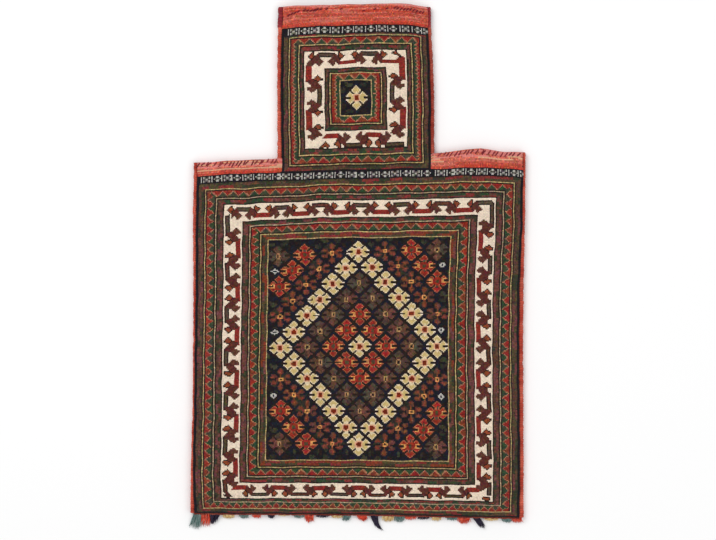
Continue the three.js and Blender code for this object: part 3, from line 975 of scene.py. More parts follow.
    def place(self, column: np.ndarray, row: np.ndarray) -> tuple[np.ndarray, np.ndarray]:
        """Find where points of the chart lie on the floor.

        Args:
            column: Knots from the left edge of the body.
            row: Knots from the bottom edge.

        Returns:
            The x and y of each point in metres.
        """
        share = column / self.columns
        rise = np.clip(row / self.body_rows, 0.0, 1.0)
        x = blend(self.left(rise), self.right(rise), share) + self.column_sway.at(share)
        y = blend(self.bottom(share), self.band(share), rise)
        y = y + self.frame_sway.at(share) * self.frame_rows.at(row) / MM
        above = row - self.body_rows
        over = blend(self.band(share), self.shoulder(share), above / self.band_rows)
        across = (column - self.neck_from) / (self.neck_to - self.neck_from)
        climb = above / (self.neck_rows + self.mouth_rows)
        patterned = blend(self.band(share), self.neck_top(across), np.clip(above / self.neck_rows, 0.0, 1.0))
        last = np.clip((above - self.neck_rows) / self.mouth_rows, 0.0, 1.0)
        neck = (column >= self.neck_from) & (column <= self.neck_to)
        up = above > 0
        neck_x = blend(self.neck_left(climb), self.neck_right(climb), across)
        x = np.where(up & neck, neck_x, x)
        y = np.where(up, np.where(neck, blend(patterned, self.mouth(across), last), over), y)
        stray = np.sin(0.31 * row + 0.05 * column) + np.sin(0.17 * row - 0.11 * column + 1.0)
        drift = np.sin(0.27 * column + 0.04 * row + 2.0) + np.sin(0.13 * column - 0.09 * row)
        return x + self.wobble * MM * stray, y + self.wobble * MM * drift

    def sewn_distance(self, x: np.ndarray, y: np.ndarray) -> np.ndarray:
        """Measure how far points lie from the closed edges, all but the mouth.

        Args:
            x: Places from left to right in metres.
            y: Places from bottom to top in metres.

        Returns:
            Distance to the nearest sewn edge in metres.
        """
        neck_left, neck_right = self.neck_from / self.columns, self.neck_to / self.columns
        low = self.band_rows / (self.neck_rows + self.mouth_rows)
        left_run = [
            (self.left(0.0), self.bottom(0.0)), (self.left(1.0), self.shoulder(0.0)),
            (self.neck_left(low), self.shoulder(neck_left)), (self.neck_left(1.0), self.mouth(0.0) + 0.1),
        ]
        right_run = [
            (self.right(0.0), self.bottom(1.0)), (self.right(1.0), self.shoulder(1.0)),
            (self.neck_right(low), self.shoulder(neck_right)), (self.neck_right(1.0), self.mouth(1.0) + 0.1),
        ]
        pairs = [*zip(left_run, left_run[1:]), *zip(right_run, right_run[1:]), (left_run[0], right_run[0])]
        nearest = np.full(np.shape(x), 1.0)
        for (x0, y0), (x1, y1) in pairs:
            dx, dy = x1 - x0, y1 - y0
            along = np.clip(((x - x0) * dx + (y - y0) * dy) / (dx * dx + dy * dy), 0.0, 1.0)
            nearest = np.minimum(nearest, np.hypot(x - x0 - along * dx, y - y0 - along * dy))
        return nearest

    def height(self, x: np.ndarray, y: np.ndarray) -> np.ndarray:
        """Find how high the front's face lies.

        Args:
            x: Places from left to right in metres.
            y: Places from bottom to top in metres.

        Returns:
            Height of the face in metres.
        """
        rise = ease(self.sewn_distance(x, y) / (self.slope * MM))
        waves = np.sin(21.0 * x + 9.0 * y + 0.6) + np.sin(-13.0 * x + 24.0 * y + 2.1)
        waves = waves + np.sin(47.0 * x - 31.0 * y)
        return (self.edge_height + (self.stand_off + self.swell * waves / 1.5) * rise) * MM


@dataclass(frozen=True)
class BagChart:
    """The whole front as one chart, with the plain red bands at the shoulders and the mouth."""

    form: BagForm
    seed: int = 21
    body_seed: int = 7
    neck_seed: int = 11
    knot_tint: float = 0.1
    row_tint: float = 0.03
    hue_tint: float = 0.026
    pale_share: float = 0.35

    def cells(self) -> np.ndarray:
        """Knot both charts and the red bands.

        Returns:
            Number of the yarn in each cell, from the bottom row up.
        """
        form = self.form
        body = BodyChart(form.columns, form.body_rows, self.body_seed)
        body.weave()
        neck = NeckChart(form.neck_to - form.neck_from, form.neck_rows, self.neck_seed)
        neck.weave()
        whole = np.full((form.rows, form.columns), Wool.BRICK.order, dtype=np.int16)
        whole[:form.body_rows] = body.cells
        self.red_band(whole, form.body_rows, form.band_rows, rosy=True)
        first = form.body_rows + form.neck_rows
        self.red_band(whole, first, form.mouth_rows, rosy=False)
        whole[form.body_rows:first, form.neck_from:form.neck_to] = neck.cells
        return whole

    def red_band(self, whole: np.ndarray, first: int, count: int, rosy: bool) -> None:
        """Streak a plain red band with paler and deeper yarn.

        Args:
            whole: The chart to work on.
            first: Lowest row of the band.
            count: Rows of the band.
            rosy: Whether the upper part fades to rose.
        """
        random = np.random.default_rng(self.seed + first)
        upper = (Wool.CLAY, Wool.SAND, Wool.CLAY) if rosy else (Wool.BRICK, Wool.CLAY, Wool.BRICK)
        crown = (Wool.BRICK, Wool.POPPY, Wool.CLAY)
        streaks = (
            (0.14, (Wool.POPPY, Wool.POPPY, Wool.BRICK)),
            (0.34, (Wool.BRICK, Wool.BRICK, Wool.CLAY)),
            (0.62, upper),
            (0.94, (Wool.ROSE, Wool.ROSE, Wool.CLAY, Wool.SAND) if rosy else crown),
            (1.01, (Wool.ROSE, Wool.CLAY)),
        )
        for row in range(count):
            share = row / max(count - 1, 1)
            wools = next(mix for limit, mix in streaks if share < limit)
            ends = np.cumsum(random.integers(4, 26, size=90))
            tones = np.array([wool.order for wool in wools])[random.integers(0, len(wools), size=91)]
            whole[first + row] = tones[np.searchsorted(ends, np.arange(whole.shape[1]))]

    def colours(self, cells: np.ndarray) -> np.ndarray:
        """Dye every knot a little unevenly.

        Args:
            cells: Number of the yarn in each cell.

        Returns:
            Linear colour of each cell.
        """
        random = np.random.default_rng(self.seed)
        palette = np.array([wool.value for wool in YARNS], dtype=float) / 255.0
        base = palette[cells]
        keep = np.where(base.mean(axis=2) > 0.6, self.pale_share, 1.0)
        shade = 1.0 + self.knot_tint * keep * random.standard_normal(cells.shape)
        shade += self.row_tint * keep * random.standard_normal((cells.shape[0], 1))
        hue = self.hue_tint * keep[..., None] * random.standard_normal((*cells.shape, 3))
        return to_linear(np.clip(base * shade[..., None] + hue, 0.004, 1.0))


class Socket(Enum):
    """Kinds of sockets on a shared effect."""

    COLOUR = "NodeSocketColor"
    VALUE = "NodeSocketFloat"
    PLACE = "NodeSocketVector"


class NodeBench:
    """Adds nodes to a tree and links them."""

    def __init__(self, tree: bpy.types.NodeTree) -> None:
        """Start on a tree."""
        self.tree = tree

    def add(self, kind: str, **settings: object) -> bpy.types.Node:
        """Add a node.

        Args:
            kind: Blender's name for the node.
            settings: Properties to set on it.

        Returns:
            The new node.
        """
        node = self.tree.nodes.new(kind)
        for name, value in settings.items():
            setattr(node, name, value)
        return node

    def link(self, source: bpy.types.NodeSocket, target: bpy.types.NodeSocket) -> None:
        """Link an output to an input."""
        self.tree.links.new(source, target)

    def math(self, operation: str, first: object, second: object = None) -> bpy.types.NodeSocket:
        """Add a sum on one or two values.

        Args:
            operation: Name of the sum.
            first: A socket or a number.
            second: A socket or a number, where the sum needs one.

        Returns:
            The result's socket.
        """
        node = self.add("ShaderNodeMath", operation=operation)
        for place, value in zip(node.inputs, (first, second)):
            if isinstance(value, bpy.types.NodeSocket):
                self.link(value, place)
            elif value is not None:
                place.default_value = value
        return node.outputs[0]

    def ridge(self, along: bpy.types.NodeSocket) -> bpy.types.NodeSocket:
        """Raise one round ridge for each step along a value."""
        return self.math("SINE", self.math("MULTIPLY", self.math("FRACT", along), math.pi))

    def noise(self, place: bpy.types.NodeSocket, scale: float, detail: float) -> bpy.types.Node:
        """Add a noise.

        Args:
            place: Where it is read.
            scale: Its scale.
            detail: Its detail.

        Returns:
            The noise's node.
        """
        node = self.add("ShaderNodeTexNoise")
        node.inputs["Scale"].default_value = scale
        node.inputs["Detail"].default_value = detail
        self.link(place, node.inputs["Vector"])
        return node

    def shaded(self, colour: bpy.types.NodeSocket, shade: bpy.types.NodeSocket) -> bpy.types.NodeSocket:
        """Darken or lighten a colour by a value.

        Args:
            colour: The colour.
            shade: The value, where 1 keeps the colour.

        Returns:
            The shaded colour.
        """
        tint = self.add("ShaderNodeMix", data_type="RGBA", blend_type="MULTIPLY")
        tint.inputs["Factor"].default_value = 1.0
        grey = self.add("ShaderNodeCombineColor")
        for channel in grey.inputs:
            self.link(shade, channel)
        self.link(colour, tint.inputs["A"])
        self.link(grey.outputs["Color"], tint.inputs["B"])
        return tint.outputs["Result"]

    def two_dyes(
        self, share: bpy.types.NodeSocket, stops: Point, dyes: Sequence[tuple[int, int, int]]
    ) -> bpy.types.NodeSocket:
        """Go from one dye to another by a value.

        Args:
            share: The value.
            stops: Values up to which the first dye and from which the second one shows alone.
            dyes: Both dyes in sRGB.

        Returns:
            The mixed colour.
        """
        ramp = self.add("ShaderNodeValToRGB")
        for stop, place, dye in zip(ramp.color_ramp.elements, stops, dyes):
            stop.position = place
            stop.color = (*to_linear(np.array(dye) / 255.0), 1.0)
        self.link(share, ramp.inputs["Fac"])
        return ramp.outputs["Color"]

    def mapped(self, tree: bpy.types.NodeTree, uv_map: str) -> bpy.types.Node:
        """Place a shared effect that reads a map."""
        node = self.add("ShaderNodeGroup", node_tree=tree)
        self.link(self.add("ShaderNodeUVMap", uv_map=uv_map).outputs["UV"], node.inputs["Vector"])
        return node


class SharedEffects:
    """Node groups that more than one finish uses, each built once."""

    def __init__(self) -> None:
        """Start with none built."""
        self.built: dict[str, bpy.types.NodeTree] = {}

    def group(
        self, name: str, inputs: Sequence[tuple[str, Socket]], outputs: Sequence[tuple[str, Socket]]
    ) -> tuple[NodeBench, bpy.types.Node, bpy.types.Node]:
        """Start a group with named sockets.

        Args:
            name: Name of the group.
            inputs: Name and kind of each input.
            outputs: Name and kind of each output.

        Returns:
            A bench on the new group, and its two end nodes.
        """
        tree = bpy.data.node_groups.new(name, "ShaderNodeTree")
        for way, sockets in (("INPUT", inputs), ("OUTPUT", outputs)):
            for label, kind in sockets:
                tree.interface.new_socket(label, in_out=way, socket_type=kind.value)
        self.built[name] = tree
        bench = NodeBench(tree)
        return bench, bench.add("NodeGroupInput"), bench.add("NodeGroupOutput")

    def fibres(self) -> bpy.types.NodeTree:
        """Give the group that mottles a yarn with fine fibres and uneven dye.

        Returns:
            The group, with a Colour and a Height.
        """
        name = "wool_fibres"
        if name in self.built:
            return self.built[name]
        bench, given, shown = self.group(
            name,
            [("Colour", Socket.COLOUR), ("Fibre Scale", Socket.VALUE), ("Mottle", Socket.VALUE)],
            [("Colour", Socket.COLOUR), ("Height", Socket.VALUE)],
        )
        place = bench.add("ShaderNodeTexCoord").outputs["Object"]
        fine = bench.noise(place, scale=1.0, detail=3.0)
        fine.inputs["Roughness"].default_value = 0.65
        broad = bench.noise(place, scale=28.0, detail=2.0)
        bench.link(given.outputs["Fibre Scale"], fine.inputs["Scale"])
        both = bench.math("ADD", fine.outputs["Fac"], bench.math("MULTIPLY", broad.outputs["Fac"], 0.5))
        swing = bench.math("MULTIPLY", bench.math("SUBTRACT", both, 0.75), given.outputs["Mottle"])
        tint = bench.shaded(given.outputs["Colour"], bench.math("ADD", swing, 1.0))
        bench.link(tint, shown.inputs["Colour"])
        bench.link(fine.outputs["Fac"], shown.inputs["Height"])
        return self.built[name]

    def wraps(self) -> bpy.types.NodeTree:
        """Give the group that lays round turns side by side along a map.

        Returns:
            The group, with a Shade that varies each turn and paints shade into the creases between turns, and
            a Height.
        """
        name = "yarn_turns"
        if name in self.built:
            return self.built[name]
        bench, given, shown = self.group(
            name,
            [("Vector", Socket.PLACE), ("Unevenness", Socket.VALUE)],
            [("Shade", Socket.VALUE), ("Height", Socket.VALUE)],
        )
        split = bench.add("ShaderNodeSeparateXYZ")
        bench.link(given.outputs["Vector"], split.inputs["Vector"])
        along = split.outputs["X"]
        ridge = bench.ridge(along)
        turn = bench.add("ShaderNodeTexWhiteNoise", noise_dimensions="1D")
        bench.link(bench.math("FLOOR", along), turn.inputs["W"])
        chance = bench.math("SUBTRACT", turn.outputs["Value"], 0.5)
        swing = bench.math("MULTIPLY", chance, given.outputs["Unevenness"])
        # Painted shade: each turn's colour darkens towards the creases between turns and is lightest at its
        # crown.
        painted_crease_shade = bench.math("MULTIPLY", bench.math("POWER", ridge, 0.5), 0.3)
        bench.link(bench.math("ADD", bench.math("ADD", swing, painted_crease_shade), 0.74), shown.inputs["Shade"])
        bench.link(ridge, shown.inputs["Height"])
        return self.built[name]

    def knots(self) -> bpy.types.NodeTree:
        """Give the group that raises one small lump for each knot of a map.

        Returns:
            The group, with a Height.
        """
        name = "knot_lumps"
        if name in self.built:
            return self.built[name]
        bench, given, shown = self.group(name, [("Vector", Socket.PLACE)], [("Height", Socket.VALUE)])
        split = bench.add("ShaderNodeSeparateXYZ")
        bench.link(given.outputs["Vector"], split.inputs["Vector"])
        lumps = [bench.ridge(split.outputs[axis]) for axis in ("X", "Y")]
        bench.link(bench.math("POWER", bench.math("MULTIPLY", *lumps), 0.5), shown.inputs["Height"])
        return self.built[name]


EFFECTS = SharedEffects()


@dataclass(frozen=True)
class WoolFinish:
    """A dull wool with soft sheen."""

    name: str
    roughness: float = 0.93
    sheen: float = 0.06
    relief: float = 0.45
    fibre_scale: float = 900.0
    mottle: float = 0.3

    def material(self) -> bpy.types.Material:
        """Make the material.

        Returns:
            A material ready to put on a piece.
        """
        made = bpy.data.materials.new(self.name)
        made.use_nodes = True
        bench = NodeBench(made.node_tree)
        shader = made.node_tree.nodes["Principled BSDF"]
        shader.inputs["Roughness"].default_value = self.roughness
        shader.inputs["Specular IOR Level"].default_value = 0.12
        shader.inputs["Sheen Weight"].default_value = self.sheen
        shader.inputs["Sheen Roughness"].default_value = 0.6
        fibres = bench.add("ShaderNodeGroup", node_tree=EFFECTS.fibres())
        fibres.inputs["Fibre Scale"].default_value = self.fibre_scale
        fibres.inputs["Mottle"].default_value = self.mottle
        height = self.dress(bench, fibres)
        bump = bench.add("ShaderNodeBump")
        bump.inputs["Strength"].default_value = 0.9
        bump.inputs["Distance"].default_value = self.relief * MM
        bench.link(height, bump.inputs["Height"])
        bench.link(bump.outputs["Normal"], shader.inputs["Normal"])
        bench.link(fibres.outputs["Colour"], shader.inputs["Base Color"])
        return made

    def dress(self, bench: NodeBench, fibres: bpy.types.Node) -> bpy.types.NodeSocket:
        """Feed the fibres and give the height of the surface."""
        raise NotImplementedError


@dataclass(frozen=True)
class KnottedWool(WoolFinish):
    """The patterned front, coloured knot by knot."""

    attribute: str = "knot_colour"
    chart_map: str = "knots"

    def dress(self, bench: NodeBench, fibres: bpy.types.Node) -> bpy.types.NodeSocket:
        """Take the colour from the knots and raise each of them.

        Args:
            bench: Bench on the material.
            fibres: The fibre group to feed.

        Returns:
            Height of the surface.
        """
        colour = bench.add("ShaderNodeAttribute", attribute_name=self.attribute)
        bench.link(colour.outputs["Color"], fibres.inputs["Colour"])
        knots = bench.mapped(EFFECTS.knots(), self.chart_map)
        fine = bench.math("MULTIPLY", fibres.outputs["Height"], 0.8)
        return bench.math("ADD", knots.outputs["Height"], fine)


@dataclass(frozen=True)
class TurnedYarn(WoolFinish):
    """Yarn wound in turns, such as overcasting, or spun into a strand."""

    colour: tuple[int, int, int] = (200, 75, 60)
    pale: tuple[int, int, int] = (220, 120, 105)
    unevenness: float = 0.22
    turn_map: str = "turns"
    patches: float = 60.0

    def dress(self, bench: NodeBench, fibres: bpy.types.Node) -> bpy.types.NodeSocket:
        """Colour the yarn in two dyes, vary each turn and paint shade into the creases between turns.

        Args:
            bench: Bench on the material.
            fibres: The fibre group to feed.

        Returns:
            Height of the surface.
        """
        turns = bench.mapped(EFFECTS.wraps(), self.turn_map)
        turns.inputs["Unevenness"].default_value = self.unevenness
        place = bench.add("ShaderNodeTexCoord").outputs["Object"]
        patch = bench.noise(place, self.patches, detail=3.0)
        dyed = bench.two_dyes(patch.outputs["Fac"], (0.38, 0.72), (self.colour, self.pale))
        # The turns' Shade holds each turn's own tone and painted shade in the creases between turns.
        bench.link(bench.shaded(dyed, turns.outputs["Shade"]), fibres.inputs["Colour"])
        fine = bench.math("MULTIPLY", fibres.outputs["Height"], 0.7)
        return bench.math("ADD", turns.outputs["Height"], fine)


@dataclass(frozen=True)
class PlainWeave(WoolFinish):
    """The plain red back, in rows of weft."""

    colour: tuple[int, int, int] = (176, 66, 54)
    pale: tuple[int, int, int] = (205, 112, 92)
    chart_map: str = "knots"

    def dress(self, bench: NodeBench, fibres: bpy.types.Node) -> bpy.types.NodeSocket:
        """Streak the weft and raise each pick.

        Args:
            bench: Bench on the material.
            fibres: The fibre group to feed.

        Returns:
            Height of the surface.
        """
        knots = bench.mapped(EFFECTS.knots(), self.chart_map)
        stretch = bench.add("ShaderNodeMapping")
        stretch.inputs["Scale"].default_value = (0.03, 0.6, 1.0)
        chart = bench.add("ShaderNodeUVMap", uv_map=self.chart_map)
        bench.link(chart.outputs["UV"], stretch.inputs["Vector"])
        streak = bench.noise(stretch.outputs["Vector"], scale=1.0, detail=4.0)
        dyed = bench.two_dyes(streak.outputs["Fac"], (0.4, 0.75), (self.colour, self.pale))
        bench.link(dyed, fibres.inputs["Colour"])
        return bench.math("ADD", knots.outputs["Height"], fibres.outputs["Height"])


def make_piece(
    bm: bmesh.types.BMesh, name: str, slot: str, nodes: Sequence[str], finish: WoolFinish
) -> bpy.types.Object:
    """Turn a bmesh into a dressed piece that rides on the frame.

    Args:
        bm: The shape, which is used up.
        name: Name of the piece.
        slot: Material slot of the record; it is not used.
        nodes: Nodes of the frame that the piece stands for.
        finish: Its finish.

    Returns:
        The new piece.
    """
    mesh = bpy.data.meshes.new(name)
    bm.to_mesh(mesh)
    bm.free()
    mesh.shade_smooth()
    mesh.materials.append(finish.material())
    piece = bpy.data.objects.new(name, mesh)
    bpy.context.scene.collection.objects.link(piece)
    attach(piece, BODY)
    if nodes:
        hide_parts(*nodes)
    LOG.info("%s: %d faces", name, len(mesh.polygons))
    return piece


def read_all(
    items: bpy.types.bpy_prop_collection, name: str, width: int = 1, kind: type = float
) -> np.ndarray:
    """Read one property of every item of a mesh.

    Args:
        items: The mesh's vertices, faces or corners.
        name: Name of the property.
        width: Numbers in the property.
        kind: Kind of its numbers.

    Returns:
        One number, or one row of numbers, for each item.
    """
    values = np.empty(len(items) * width, dtype=kind)
    items.foreach_get(name, values)
    return values.reshape(-1, width) if width > 1 else values


@dataclass
class WovenPanel:
    """A T-shaped sheet with one cell of its grid for a number of knots."""

    form: BagForm
    name: str
    knots_on_face: int
    knots_behind: int

    def sheet(self, bm: bmesh.types.BMesh, knots: int, level: float) -> list[bmesh.types.BMFace]:
        """Lay one side of the sheet as a flat chart.

        Args:
            bm: The shape to add to.
            knots: Knots along each side of a cell.
            level: Level that marks this side.

        Returns:
            The faces of this side.
        """
        form = self.form
        stretch = Matrix.Diagonal((form.columns, form.rows, 1.0, 1.0))
        span = stretch @ Matrix.Translation((0.5, 0.5, level))
        made = bmesh.ops.create_grid(
            bm, x_segments=form.columns // knots, y_segments=form.rows // knots, size=0.5, matrix=span)
        near = [round(column / knots) * knots for column in (form.neck_from, form.neck_to)]
        for vertex in made["verts"]:
            vertex.co.x = np.interp(
                vertex.co.x, (0, *near, form.columns), (0, form.neck_from, form.neck_to, form.columns))
        faces = list({face for vertex in made["verts"] for face in vertex.link_faces})
        outside = []
        for face in faces:
            middle = face.calc_center_median()
            beside = middle.x < form.neck_from or middle.x > form.neck_to
            if beside and middle.y > form.shoulder_row:
                outside.append(face)
        bmesh.ops.delete(bm, geom=outside, context="FACES")
        return [face for face in bm.faces if abs(face.calc_center_median().z - level) < 0.5]

    def closed_sheet(self) -> bpy.types.Mesh:
        """Join both sides along their edges.

        Returns:
            A flat chart with its face at level 0 and its reverse at level -1.
        """
        bm = bmesh.new()
        self.sheet(bm, self.knots_on_face, 0.0)
        behind = self.sheet(bm, self.knots_behind, -1.0)
        bmesh.ops.reverse_faces(bm, faces=behind)
        rims = [edge for edge in bm.edges if edge.is_boundary]
        bmesh.ops.bridge_loops(bm, edges=rims)
        bmesh.ops.recalc_face_normals(bm, faces=bm.faces)
        mesh = bpy.data.meshes.new(self.name)
        bm.to_mesh(mesh)
        bm.free()
        return mesh

    def laid(
        self, mesh: bpy.types.Mesh, spots: np.ndarray, node: str, finish: WoolFinish
    ) -> bpy.types.Object:
        """Put the corners of a chart in their places and make it a piece.

        Args:
            mesh: The flat chart, which is used up.
            spots: Where its vertices lie in metres.
            node: Node of the frame that the panel stands for.
            finish: Its finish, which has the name of its slot.

        Returns:
            The panel's piece.
        """
        mesh.vertices.foreach_set("co", spots.ravel())
        bm = bmesh.new()
        bm.from_mesh(mesh)
        bpy.data.meshes.remove(mesh)
        return make_piece(bm, self.name, finish.name, [node], finish)


@dataclass
class FrontPanel(WovenPanel):
    """The knotted front, bowed over the pocket and open at the mouth."""

    finish: KnottedWool = KnottedWool("patterned_wool")
    thickness: float = 4.6
    pile: float = 0.4
    lumps: float = 0.16
    unevenness: float = 0.12
    pinch: float = 0.12
    fine_yarns: tuple[Wool, ...] = (Wool.STRAW, Wool.FLAX, Wool.PEACH, Wool.BLUSH, Wool.CHALK)
    lump_seed: int = 5
    stray_seed: int = 6

    def build(self) -> bpy.types.Object:
        """Knot, bow and dress the front.

        Returns:
            The front piece.
        """
        mesh = self.closed_sheet()
        chart = BagChart(self.form)
        cells = chart.cells()
        places = read_all(mesh.vertices, "co", 3)
        self.dye(mesh, chart.colours(cells))
        self.map_knots(mesh, places)
        top = places[:, 2] > -0.5
        stray = self.strays(cells, places, top)
        x, y = self.form.place(places[:, 0] + stray[:, 0], places[:, 1] + stray[:, 1])
        raised = self.form.height(x, y)
        raised[top] += self.relief(cells, places[top])
        raised[~top] -= self.thickness * MM
        return self.laid(mesh, np.stack([x, y, raised], axis=1), "front_panel", self.finish)

    def strays(self, cells: np.ndarray, places: np.ndarray, top: np.ndarray) -> np.ndarray:
        """Pinch the fine lines and shift the other corners of the knots a little.

        Args:
            cells: Number of the yarn in each cell.
            places: Chart places of the vertices.
            top: Which of them lie on the face.

        Returns:
            Shift of each vertex in knots.
        """
        form = self.form
        random = np.random.default_rng(self.stray_seed)
        shift = random.uniform(-self.unevenness, self.unevenness, (len(places), 2))
        fine = np.pad(np.isin(cells, [wool.order for wool in self.fine_yarns]).astype(float), 1)
        beside, above = np.diff(fine, axis=1), np.diff(fine, axis=0)
        pull = np.stack([beside[:-1] + beside[1:], above[:, :-1] + above[:, 1:]], axis=2)
        columns = np.clip(np.rint(places[:, 0]).astype(int), 0, form.columns)
        rows = np.clip(np.rint(places[:, 1]).astype(int), 0, form.rows)
        shift += 0.5 * self.pinch * pull[rows, columns]
        column, row = places[:, 0], places[:, 1]
        body = (column > 2) & (column < form.columns - 2) & (row > 2) & (row < form.body_rows - 1)
        neck = (column > form.neck_from + 2) & (column < form.neck_to - 2) & (row > 2) & (row < form.rows - 2)
        return shift * (top & (body | neck))[:, None]

    def relief(self, cells: np.ndarray, places: np.ndarray) -> np.ndarray:
        """Raise the pale yarns and sink the dark outlines.

        Args:
            cells: Number of the yarn in each cell.
            places: Chart places of the corners of the knots.

        Returns:
            Extra height of each corner in metres.
        """
        palette = np.array([wool.value for wool in YARNS], dtype=float) / 255.0
        pile = np.sqrt(palette.mean(axis=1))[cells] - 0.5
        padded = np.pad(pile, 1, mode="edge")
        corner = (padded[:-1, :-1] + padded[1:, :-1] + padded[:-1, 1:] + padded[1:, 1:]) / 4.0
        random = np.random.default_rng(self.lump_seed)
        rough = random.standard_normal(corner.shape) * self.lumps
        columns = np.rint(places[:, 0]).astype(int)
        rows = np.rint(places[:, 1]).astype(int)
        return (corner * 2.0 * self.pile + rough)[rows, columns] * MM

    def dye(self, mesh: bpy.types.Mesh, colours: np.ndarray) -> None:
        """Give each face the colour of its knot.

        Args:
            mesh: The flat chart.
            colours: Linear colour of each cell.
        """
        middles = read_all(mesh.polygons, "center", 3)
        columns = np.clip(middles[:, 0].astype(int), 0, self.form.columns - 1)
        rows = np.clip(middles[:, 1].astype(int), 0, self.form.rows - 1)
        shown = np.ones((len(middles), 4))
        shown[:, :3] = colours[rows, columns]
        behind = middles[:, 2] < -0.9
        shown[behind, :3] = to_linear(np.array(Wool.UMBER.value) / 255.0)
        attribute = mesh.attributes.new(self.finish.attribute, "FLOAT_COLOR", "FACE")
        attribute.data.foreach_set("color", shown.ravel())

    def map_knots(self, mesh: bpy.types.Mesh, places: np.ndarray) -> None:
        """Lay a map in knots, and one that fills the square for baking.

        Args:
            mesh: The flat chart.
            places: Chart places of its vertices.
        """
        flat = places[read_all(mesh.loops, "vertex_index", kind=np.int64)]
        knots = mesh.uv_layers.new(name=self.finish.chart_map)
        knots.uv.foreach_set("vector", flat[:, :2].ravel())
        starts = read_all(mesh.polygons, "loop_start", kind=np.int64)
        counts = read_all(mesh.polygons, "loop_total", kind=np.int64)
        lowest = np.minimum.reduceat(flat[:, 2], starts)
        highest = np.maximum.reduceat(flat[:, 2], starts)
        behind = np.repeat(highest < -0.5, counts)
        rim = np.repeat((lowest < -0.5) & (highest > -0.5), counts)
        size = np.array([self.form.columns + 8.0, self.form.rows + 8.0])
        middle = np.array([self.form.columns / 2.0, self.form.rows / 2.0])
        bake = flat[:, :2] + 4.0
        out = np.sign(flat[:, :2] - middle) * 2.5
        low_rim = rim & (flat[:, 2] < -0.5)
        bake[low_rim] += out[low_rim]
        bake[behind] = flat[behind, :2] * 0.2 + np.array([6.0, self.form.shoulder_row + 20.0])
        baking = mesh.uv_layers.new(name="OFBake")
        baking.uv.foreach_set("vector", (bake / size).ravel())


@dataclass
class BackPanel(WovenPanel):
    """The plain back, which lies on the floor."""

    finish: PlainWeave = PlainWeave("plain_wool")
    thickness: float = 3.0

    def build(self) -> bpy.types.Object:
        """Lay and dress the back.

        Returns:
            The back piece.
        """
        mesh = self.closed_sheet()
        places = read_all(mesh.vertices, "co", 3)
        corners = read_all(mesh.loops, "vertex_index", kind=np.int64)
        knots = mesh.uv_layers.new(name=self.finish.chart_map)
        knots.uv.foreach_set("vector", places[corners, :2].ravel())
        x, y = self.form.place(places[:, 0], places[:, 1])
        level = np.where(places[:, 2] > -0.5, self.thickness * MM, 0.0)
        return self.laid(mesh, np.stack([x, y, level], axis=1), "back_panel", self.finish)


@dataclass(frozen=True)
class YarnTube:
    """A round or flattened yarn along a path, with a map that counts its turns."""

    around: int = 12
    turn_map: str = "turns"

    def lay(
        self, bm: bmesh.types.BMesh, path: np.ndarray, across: np.ndarray, up: np.ndarray, turns: np.ndarray,
        ridge: float = 0.0, slant: float = 0.0,
    ) -> None:
        """Lay one tube.

        Args:
            bm: The shape to add to.
            path: Points of its middle line in metres.
            across: Half width vector at each point.
            up: Half height vector at each point.
            turns: Turns of yarn up to each point.
            ridge: Share of the radius by which each turn stands out.
            slant: Turns by which a turn leans round the tube.
        """
        count = len(path)
        layer = bm.loops.layers.uv.get(self.turn_map) or bm.loops.layers.uv.new(self.turn_map)
        stretch = Matrix.Diagonal((count - 1.0, float(self.around), 1.0, 1.0))
        span = stretch @ Matrix.Translation((0.5, 0.5, 0.0))
        made = bmesh.ops.create_grid(bm, x_segments=count - 1, y_segments=self.around, size=0.5, matrix=span)
        faces = {face for vertex in made["verts"] for face in vertex.link_faces}
        for face in faces:
            for loop in face.loops:
                step, side = round(loop.vert.co.x), round(loop.vert.co.y)
                loop[layer].uv = (turns[step] + slant * side / self.around, side / self.around)
        for vertex in made["verts"]:
            step, side = round(vertex.co.x), round(vertex.co.y) % self.around
            angle = 2.0 * math.pi * side / self.around
            bulge = abs(math.sin(math.pi * (turns[step] + slant * side / self.around)))
            swell = 1.0 + ridge * (bulge - 1.0)
            vertex.co = path[step] + swell * (across[step] * math.cos(angle) + up[step] * math.sin(angle))

    @staticmethod
    def close(bm: bmesh.types.BMesh) -> None:
        """Seam and cap every tube of a piece."""
        bmesh.ops.remove_doubles(bm, verts=bm.verts, dist=1e-7)
        bmesh.ops.holes_fill(bm, edges=[edge for edge in bm.edges if edge.is_boundary], sides=0)
        bmesh.ops.recalc_face_normals(bm, faces=bm.faces)

    def thread(
        self, bm: bmesh.types.BMesh, points: np.ndarray, radii: np.ndarray, turns: float, ridge: float = 0.0,
        slant: float = 0.0,
    ) -> None:
        """Lay a round thread of changing thickness.

        Args:
            bm: The shape to add to.
            points: Points of its middle line in metres.
            radii: Radius at each point in metres.
            turns: Turns of yarn from end to end.
            ridge: Share of the radius by which each turn stands out.
            slant: Turns by which a turn leans round the thread.
        """
        tangent = np.gradient(points, axis=0)
        tangent /= np.linalg.norm(tangent, axis=1, keepdims=True)
        helper = np.array([0.0, 0.0, 1.0]) if abs(tangent[0][2]) < 0.9 else np.array([1.0, 0.0, 0.0])
        across = np.cross(tangent, helper)
        across /= np.linalg.norm(across, axis=1, keepdims=True)
        up = np.cross(across, tangent)
        count = np.linspace(0.0, turns, len(points))
        self.lay(bm, points, across * radii[:, None], up * radii[:, None], count, ridge, slant)


@dataclass(frozen=True)
class EdgeRun:
    """One overcast edge, with its width in millimetres by the share of its length."""

    name: str
    node: str
    slot: str
    widths: tuple[Point, ...]
    outward: Point
    pitch: float = 2.6
    half_height: float = 4.15
    tone: float = 1.0


